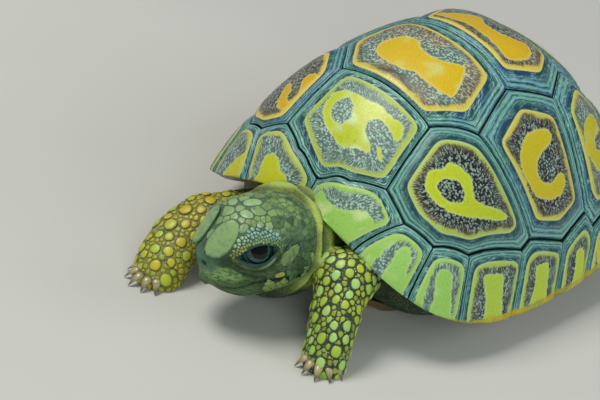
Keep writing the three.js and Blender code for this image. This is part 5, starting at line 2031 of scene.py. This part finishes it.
        # darker low on the head is painted shade; the rear crown's dark scales and the dark spot behind the eye are
        # their own colour
        dusk = 0.6 * (1 - crown) + 0.3 * rear + rng.normal(0, 0.12, count) + 0.3 * ease(1, -3, z)
        jaw = ease(-0.3, -0.8, head.mouth(local)) * ease(4, 6, y)
        # paler on the crown: partly the scales' own tone, partly painted light from above
        pale = np.clip(rng.normal(0.25, 0.2, count), 0, 0.6) * crown * (1 - 0.7 * rear) * (1 - 0.6 * brow)
        # a dotted row of pale scales behind the ear drum: painted wet highlights
        glint_row = (np.abs(y - 0.8 * z - 14.3) < 0.6) & (z > -3) & (z < 1.5) & (rng.uniform(0, 1, count) < 0.5)
        pale = np.where(glint_row, 0.8, pale)
        dusk = (
            dusk + 0.5 * rear * (rng.uniform(0, 1, count) < 0.35) + 0.7
            * bell(np.hypot(local[:, 0] - 4.9, y - 11.0), 0, 0.7) * crown
        )
        return {
            "tone": np.clip(
                0.25 * crown + 0.4 * brow + 1.0 * jaw + 0.3 * rear + rng.normal(0.1, 0.13, count), 0, 1
            ),
            "gold": 0.1 * brow, "pale": pale,
            "dusk": np.clip(dusk + 0.05 * brow + 0.6 * drum - 0.8 * jaw, 0, 0.95)
            * np.where(pale > 0.7, 0.2, 1)
        }

    def _lid_sizes(self, places: Array) -> Array:
        """Radius of the granule at each place above and before the eye."""
        head = self.flesh.head
        local = head.local(places)
        along, up, out, radius = head.eye_place(local)
        gap = head.slit_gap(along, up)
        here = (radius < head.lid_radius + 1.15) & (radius > head.lid_radius - 0.4) & (out > -0.4)
        over = (up > -0.3) & (gap > 0.42)
        size = np.where(gap < 0.75, 0.19, 0.22 + 0.12 * ease(1.2, 2.4, gap))
        return np.where(here & over & self._own(places), size, 0)

    def _lid_look(self, places: Array, radii: Array, rng: np.random.Generator) -> dict[str, Array]:
        """Colours of the granules: yellow at the lid's edge and in front, and pale blue above, where the pale is
        painted wet highlight.
        """
        head = self.flesh.head
        local = head.local(places)
        along, up, _, _ = head.eye_place(local)
        gap = head.slit_gap(along, up)
        count = len(places)
        front = ease(-1.2, -2.4, along)
        above = ease(0.2, 0.9, up)
        return {
            "tone": np.clip(0.85 * front + 0.7 * ease(1.1, 0.7, gap) + rng.normal(0.1, 0.1, count), 0, 1),
            "gold": 0.15 * front,
            # pale above the eye: painted wet highlight on the granules
            "pale": np.clip(0.5 * above * ease(0.8, 1.4, gap) + rng.normal(0, 0.1, count), 0, 0.8),
            "dusk": np.clip(0.15 + 0.25 * (1 - above) - 0.2 * front + rng.normal(0, 0.1, count), 0, 1)
        }

    # -- the legs
    def _foreleg_sizes(self, places: Array, normals: Array, side: int) -> Array:
        """Radius of the scale at each place of one foreleg: bold ones among small, on its front.

        Args:
            places: on the skin.
            normals: the ways out of it.
            side: 1 for the left leg, -1 for the right.

        Returns:
            Radii, 0 off the leg.
        """
        limbs = FORELEG_LEFT if side > 0 else FORELEG_RIGHT
        away = np.minimum(limbs[0].distance(places), limbs[1].distance(places))
        here = (away < 0.9) & (places[:, 1] < -27.0) & (places[:, 2] > 0.25) & ~self._own(places)
        here &= self.flesh.neck.distance(places) > 0.9
        outer = np.array([0.45 * side, -0.75, 0.35])
        facing = ease(-0.35, 0.5, normals @ outer)
        rng = np.random.default_rng(17 + side)
        large = rng.uniform(0.66, 1.1 - 0.12 * side, len(places))
        small = rng.uniform(0.26, 0.5, len(places))
        bold = (rng.uniform(0, 1, len(places)) < 0.35) & (facing > 0.3)
        return np.where(here, np.where(bold, large, small), 0)

    @staticmethod
    def _leg_look(places: Array, radii: Array, rng: np.random.Generator) -> dict[str, Array]:
        """Colours of the legs' scales: large ones bright, the right leg more golden.

        Args:
            places: the scales' roots.
            radii: their sizes.
            rng: the source of what varies.

        Returns:
            A number a scale for each thing that the finish reads.
        """
        count = len(places)
        big = ease(0.42, 0.75, radii)
        right = places[:, 0] < -2
        high = ease(6.0, 10.0, places[:, 2])
        return {
            "tone": np.clip(rng.normal(0.3, 0.25, count) + 0.4 * right + 0.4 * high - 0.15 * big, 0, 1),
            "gold": np.clip(np.where(right, 0.45, 0.06) * rng.uniform(0.2, 1.6, count), 0, 1),
            "pale": np.where(rng.uniform(0, 1, count) < 0.4, 0.45, 0.0) * big * ~right,
            "dusk": np.clip(
                0.42 - 0.42 * big + rng.normal(0, 0.1, count) - 0.15 * high - 0.1 * right, 0, 0.9
            )
        }

    def _hind_sizes(self, places: Array, normals: Array) -> Array:
        """Radius of the scale at each place behind: larger at the heel, smaller on the tail."""
        here = (places[:, 1] > 18) & (places[:, 2] > 0.25) & (places[:, 2] < 13)
        heel = ease(0.0, 0.6, normals[:, 1]) * ease(5, 2, places[:, 2])
        tail = np.abs(places[:, 0] - 1.2) < 4.5
        size = np.where(tail & (places[:, 1] > 28), 0.48, 0.62 + 0.25 * heel)
        return np.where(here, size, 0)


# ---- eyes and claws --------------------------------------------------------------------------
@dataclass
class Eye:
    """One eyeball with a low cornea over a dark iris."""

    head: Head
    side: Side
    bulge: float = 0.32

    def build(self, finish: Finish) -> None:
        """Makes the ball."""
        name = "eye_left" if self.side is Side.LEFT else "eye_right"
        flip = np.array([self.side.value, 1, 1])
        axis = self.head.look
        across = unit(np.cross(axis, np.array([0, 0, 1.0])))
        upward = np.cross(across, axis)
        polar = np.linspace(0, np.pi, 40)[1:-1]
        turn = np.linspace(0, 2 * np.pi, 56, endpoint=False)
        reach = self.head.eye_radius - 0.1 + self.bulge * bell(polar, 0, 0.62)
        ring = across * np.cos(turn)[:, None] + upward * np.sin(turn)[:, None]
        points = (
            axis * (reach * np.cos(polar))[:, None, None]
            + ring[None] * (reach * np.sin(polar))[:, None, None]
        ).reshape(-1, 3)
        poles = np.array([axis * (reach[0] + 0.003), -axis * reach[-1]])
        points = (np.concatenate([points, poles]) + np.array(self.head.eye)) * flip
        quads, fans = capped(len(polar), len(turn))
        away = unit(points * flip - np.array(self.head.eye))
        gaze = self.head.gaze
        level = unit(np.cross(gaze, np.array([0, 0, 1.0])))
        round_ = np.arctan2(away @ np.cross(level, gaze), away @ level)
        from_gaze = np.arccos(np.clip(away @ gaze, -1, 1))
        values = {"polar": from_gaze, "spoke": np.cos(round_), "spin": np.sin(round_)}
        made = Piece(f"{name}ball", self.head.world(points), [quads, fans], values)
        centre = made.points.mean(axis=0)
        outward = volume_of(made.points - centre, quads) > 0
        (made if outward else flipped(made)).build(finish, "eye", [name])


@dataclass
class Claws:
    """The claws of one foot: curved horn cones fanned round its front."""

    name: str
    sole: tuple[float, float]
    reach: float
    heading: float  # degrees from the front, positive to the animal's left
    count: int
    spread: float
    length: float = 2.9
    width: float = 0.82
    root_height: float = 1.25

    def build(self, finish: Finish) -> None:
        """Makes the fan of claws as one piece."""
        k, rings = 16, 12
        share = np.linspace(0, 1, rings)
        points, quads, fans, along = [], [], [], []
        each = rings * k + 2
        for i in range(self.count):
            bearing = math.radians(self.heading + (i - (self.count - 1) / 2) * self.spread)
            ahead = np.array([math.sin(bearing), -math.cos(bearing), 0.0])
            across = np.array([-ahead[1], ahead[0], 0.0])
            length = self.length * (1.0 - 0.1 * abs(i - (self.count - 1) / 2))
            drop = self.root_height - 0.16
            line = (
                np.array([*self.sole, self.root_height])
                + ahead * (self.reach - 0.5 + length * share[:, None])
                + np.array([0, 0, 1.0]) * (0.5 * np.sin(share * np.pi) - drop * share**1.6)[:, None]
            )
            taper = (1 - share**1.7) * 0.94 + 0.06
            turn = np.linspace(0, 2 * np.pi, k, endpoint=False)
            wide = (self.width * taper)[:, None] * np.cos(turn)
            tall = (self.width * 0.72 * taper)[:, None] * np.sin(turn)
            made = line[:, None] + across * wide[..., None] + np.array([0, 0, 1.0]) * tall[..., None]
            tip = line[-1] + ahead * 0.06
            block = np.concatenate([made.reshape(-1, 3), [line[0] - ahead * 0.3, tip]])
            block[:, 2] = np.maximum(block[:, 2], 0.015)
            points.append(block)
            sides, ends = capped(rings, k)
            quads.append(sides + i * each)
            fans.append(ends + i * each)
            along.append(np.concatenate([np.repeat(share, k), [0.0, 1.0]]))
        piece = Piece(
            self.name, np.concatenate(points), [np.concatenate(quads), np.concatenate(fans)],
            {"along": np.concatenate(along)}
        )
        first = piece.points[:each]
        outward = volume_of(first - first.mean(axis=0), quads[0]) > 0
        (piece if outward else flipped(piece)).build(finish, "leg")


CLAWS = (
    Claws("claws_foreleg_left", (16.2, -38.6), 2.9, 28, 5, 26),
    Claws("claws_foreleg_right", (-13.8, -44.4), 3.0, -10, 5, 26),
    Claws("claws_hindleg_left", (20.6, 27.6), 3.0, 30, 4, 27),
    Claws("claws_hindleg_right", (-20.6, 27.6), 3.0, -30, 4, 27)
)


@dataclass(frozen=True)
class EyeFinish:
    """A wet, nearly black eye with a thin grey-green iris round a wide pupil; the iris's teal-green is partly painted
    reflection.
    """

    pupil: str = "#030809"
    # the teal-green iris and its flecks are partly painted reflection
    iris: str = "#1d3d38"
    fleck: str = "#35594f"
    ring: str = "#0b1a1a"
    white: str = "#33605c"

    def material(self) -> Finish:
        """The eye's material."""
        g = Graph.named("wet_reptile_eye")
        polar, spoke, spin = g.add("value", "polar"), g.add("value", "spoke"), g.add("value", "spin")
        star = g.add("CombineXYZ", X=spoke * 0.02, Y=spin * 0.02)
        rays = g.add("grain", 900.0, 2.0, Vector=star)
        iris = g.add("blend", g.add("ease", rays, 0.42, 0.62), self.iris, self.fleck)
        colour = g.add("blend", g.add("ease", polar, 0.52, 0.57), self.pupil, iris)
        colour = g.add("blend", g.add("ease", polar, 0.8, 0.88), colour, self.ring)
        colour = g.add("blend", g.add("ease", polar, 0.96, 1.1), colour, self.white)
        surface = {
            "Base Color": colour, "Roughness": 0.1, "IOR": 1.33, "Coat Weight": 0.2,
            "Coat Roughness": 0.02
        }
        return g.finish(surface, [(g.add("grain", per(1.4), 1.0), 0.006)])


@dataclass(frozen=True)
class ClawFinish:
    """Translucent brown-grey horn, darker at its root, with fine length-wise lines."""

    root: str = "#3d3a26"
    horn: str = "#a39a72"
    tip: str = "#5b4f35"

    def material(self) -> Finish:
        """The claws' material."""
        g = Graph.named("claw_horn")
        along = g.add("value", "along")
        lines = g.add("grain", per(0.35), 3.0, 0.6)
        colour = g.add("blend", g.add("ease", along, 0.05, 0.45), self.root, self.horn)
        colour = g.add("blend", g.add("ease", along, 0.55, 1.0), colour, self.tip)
        colour = g.add("blend", g.add("ease", lines, 0.45, 0.7) * 0.35, colour, self.root)
        surface = {"Base Color": colour, "Roughness": 0.3, "IOR": 1.55, "Coat Weight": 0.2}
        return g.finish(surface, [(lines, 0.03)])


# ---- the plastron ----------------------------------------------------------------------------
@dataclass
class Plastron:
    """The sole of the shell: six rows of plates, each a left and a right half."""

    finish: Finish

    def build(self) -> None:
        """Makes each row as one piece."""
        for row, half in PLASTRON_ROWS.items():
            halves = []
            for side in (Side.RIGHT, Side.LEFT):
                corners = [(x * side.value, y) for x, y in half]
                if side is Side.LEFT:
                    corners.reverse()
                middle = np.mean(corners, axis=0)
                wide = max(x for x, _ in half) * 0.26
                mark = (-wide, -1.6, 0, -2.2, wide, -1.0, wide * 1.1, 1.4, 0.2, 1.0, -wide, 2.0)
                heart = (float(middle[0]), float(middle[1]))
                marking = Marking(heart, 0.35, 0.4, 0.6, (0, 0), (mark,))
                relief = Relief(heart=-0.03, areola=-0.04, step=0.05, seam=-0.3, groove=0.08, depth=1.0)
                halves.append(
                    Scute(row, corners, SHELL.lift_sole, marking, relief, stride=0.7, rings=(7, 15)).piece()
                )
            made = joined(f"plastron_plates_{row}", halves)
            made.points[:, 2] = np.maximum(made.points[:, 2], 0.004)
            made.build(self.finish, "plastron", [f"plastron_{row}"])


def joined(name: str, pieces: Sequence[Piece]) -> Piece:
    """Several pieces as one mesh."""
    starts = np.cumsum([0] + [len(p.points) for p in pieces])
    kinds = range(len(pieces[0].faces))
    faces = [np.concatenate([p.faces[i] + s for p, s in zip(pieces, starts)]) for i in kinds]
    values = {k: np.concatenate([p.values[k] for p in pieces]) for k in pieces[0].values}
    maps = {}
    for key in pieces[0].maps:
        cut = [np.cumsum([0] + [f.size for f in p.faces]) for p in pieces]
        maps[key] = np.concatenate(
            [p.maps[key][c[i] : c[i + 1]] for i in kinds for p, c in zip(pieces, cut)]
        )
    return Piece(name, np.concatenate([p.points for p in pieces]), faces, values, maps)


# ---- the studio ------------------------------------------------------------------------------
@dataclass(frozen=True)
class Studio:
    """A plain pale floor, soft lights and the camera."""

    azimuth: float = 36.78
    elevation: float = 30.76
    distance: float = 383.75
    target: tuple[float, float, float] = (-1.30, -29.25, 16.42)
    roll: float = 11.97
    lens: float = 151.13
    sensor: float = 36.0

    def build(self) -> None:
        """Makes floor, lights, sky and camera."""
        self._floor()
        self._light("key", (-0.16, -0.14, 0.44), 0.2, 1.75, "#fffdf6")
        self._light("fill", (0.5, -0.42, 0.3), 0.5, 2.3, "#f2fff8", False)
        self._light("side", (0.48, 0.3, 0.3), 0.4, 1.3, "#f3f7ff", False)
        world = bpy.data.worlds.new("studio_sky")
        world.use_nodes = True
        world.node_tree.nodes["Background"].inputs[0].default_value = linear("#cfd8dc")
        world.node_tree.nodes["Background"].inputs[1].default_value = 0.26
        bpy.context.scene.world = world
        bpy.context.scene.view_settings.view_transform = "Standard"
        self._camera()

    def _floor(self) -> None:
        """Makes the floor, which isn't part of the animal."""
        g = Graph.named("matt_studio_board")
        tint = g.add("blend", g.add("grain", per(40), 2.0), "#b9b8b3", "#c2c1bd")
        finish = g.finish({"Base Color": tint, "Roughness": 0.85}, [(g.add("grain", per(0.6), 2.0), 0.02)])
        size = 3.0
        mesh = bpy.data.meshes.new("floor")
        mesh.from_pydata(
            [(-size, -size, 0), (size, -size, 0), (size, size, 0), (-size, size, 0)], [], [(0, 1, 2, 3)]
        )
        mesh.materials.append(finish)
        floor = bpy.data.objects.new("floor", mesh)
        bpy.context.scene.collection.objects.link(floor)
        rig.stage(floor)

    @staticmethod
    def _light(
        name: str, place: Sequence[float], size: float, power: float, tint: str, mirrored: bool = True
    ) -> None:
        """Makes a round soft light that looks at the animal.

        Args:
            name: its name.
            place: where it is, in metres.
            size: its width in metres.
            power: in watts.
            tint: its colour.
            mirrored: whether glossy surfaces show it.
        """
        lamp = bpy.data.lights.new(name, "AREA")
        lamp.shape = "DISK"
        lamp.size = size
        lamp.energy = power
        lamp.color = linear(tint)[:3]
        thing = bpy.data.objects.new(name, lamp)
        thing.location = place
        thing.visible_glossy = mirrored
        thing.rotation_mode = "QUATERNION"
        aim = Vector((0, -0.01, 0.015)) - Vector(place)
        thing.rotation_quaternion = aim.to_track_quat("-Z", "Y")
        bpy.context.scene.collection.objects.link(thing)

    def _camera(self) -> None:
        """Makes the camera and gives it to the scene."""
        a, e, r = (math.radians(v) for v in (self.azimuth, self.elevation, self.roll))
        back = Vector((math.sin(a) * math.cos(e), -math.cos(a) * math.cos(e), math.sin(e)))
        right = (-back).cross(Vector((0, 0, 1))).normalized()
        up = right.cross(-back)
        across = right * math.cos(r) + up * math.sin(r)
        upward = up * math.cos(r) - right * math.sin(r)
        data = bpy.data.cameras.new("camera")
        data.lens, data.sensor_width = self.lens, self.sensor
        data.clip_start, data.clip_end = 0.01, 10
        camera = bpy.data.objects.new("camera", data)
        turned = Matrix((across, upward, back)).transposed().to_4x4()
        place = (Vector(self.target) + back * self.distance) * METRES
        camera.matrix_world = Matrix.Translation(place) @ turned
        bpy.context.scene.collection.objects.link(camera)
        bpy.context.scene.camera = camera


def write_size(moment: str) -> None:
    low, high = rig.bounds()
    try:
        with open(SIZE_FILE) as kept:
            sizes = json.load(kept) if moment != "loaded" else {}
    except (OSError, ValueError):
        sizes = {}
    sizes[moment] = [list(low), list(high)]
    with open(SIZE_FILE, "w") as kept:
        json.dump(sizes, kept)


def main() -> None:
    """Builds the whole scene."""
    logging.basicConfig(level=logging.INFO, format="%(message)s")
    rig.load()
    write_size("loaded")
    Carapace(ScuteFinish().material()).build()
    sole = ScuteFinish(
        "keratin_plastron_scute", lime="#c9b65a", orange="#cfae55", pale_base="#8c7f56",
        pale_fleck="#c4b98a", dark_base="#4b4434", dark_fleck="#a89a70", growth_deep="#7d6d45",
        growth_navy="#7d6d45", growth="#b8a566", growth_blue="#ab9a60", growth_pale="#d8cb9a",
        ridge="#c6b681", groove="#54472c", rim_cool="#c2b064", rim_warm="#c9ae5a"
    )
    Plastron(sole.material()).build()
    flesh = Flesh()
    skin = Skin(flesh, SkinFinish().material())
    skin.build()
    Coats(flesh, skin).build()
    eye = EyeFinish().material()
    for side in (Side.LEFT, Side.RIGHT):
        Eye(flesh.head, side).build(eye)
    horn = ClawFinish().material()
    for claws in CLAWS:
        claws.build(horn)
    Studio().build()
    write_size("finished")


if __name__ == "__main__":
    main()
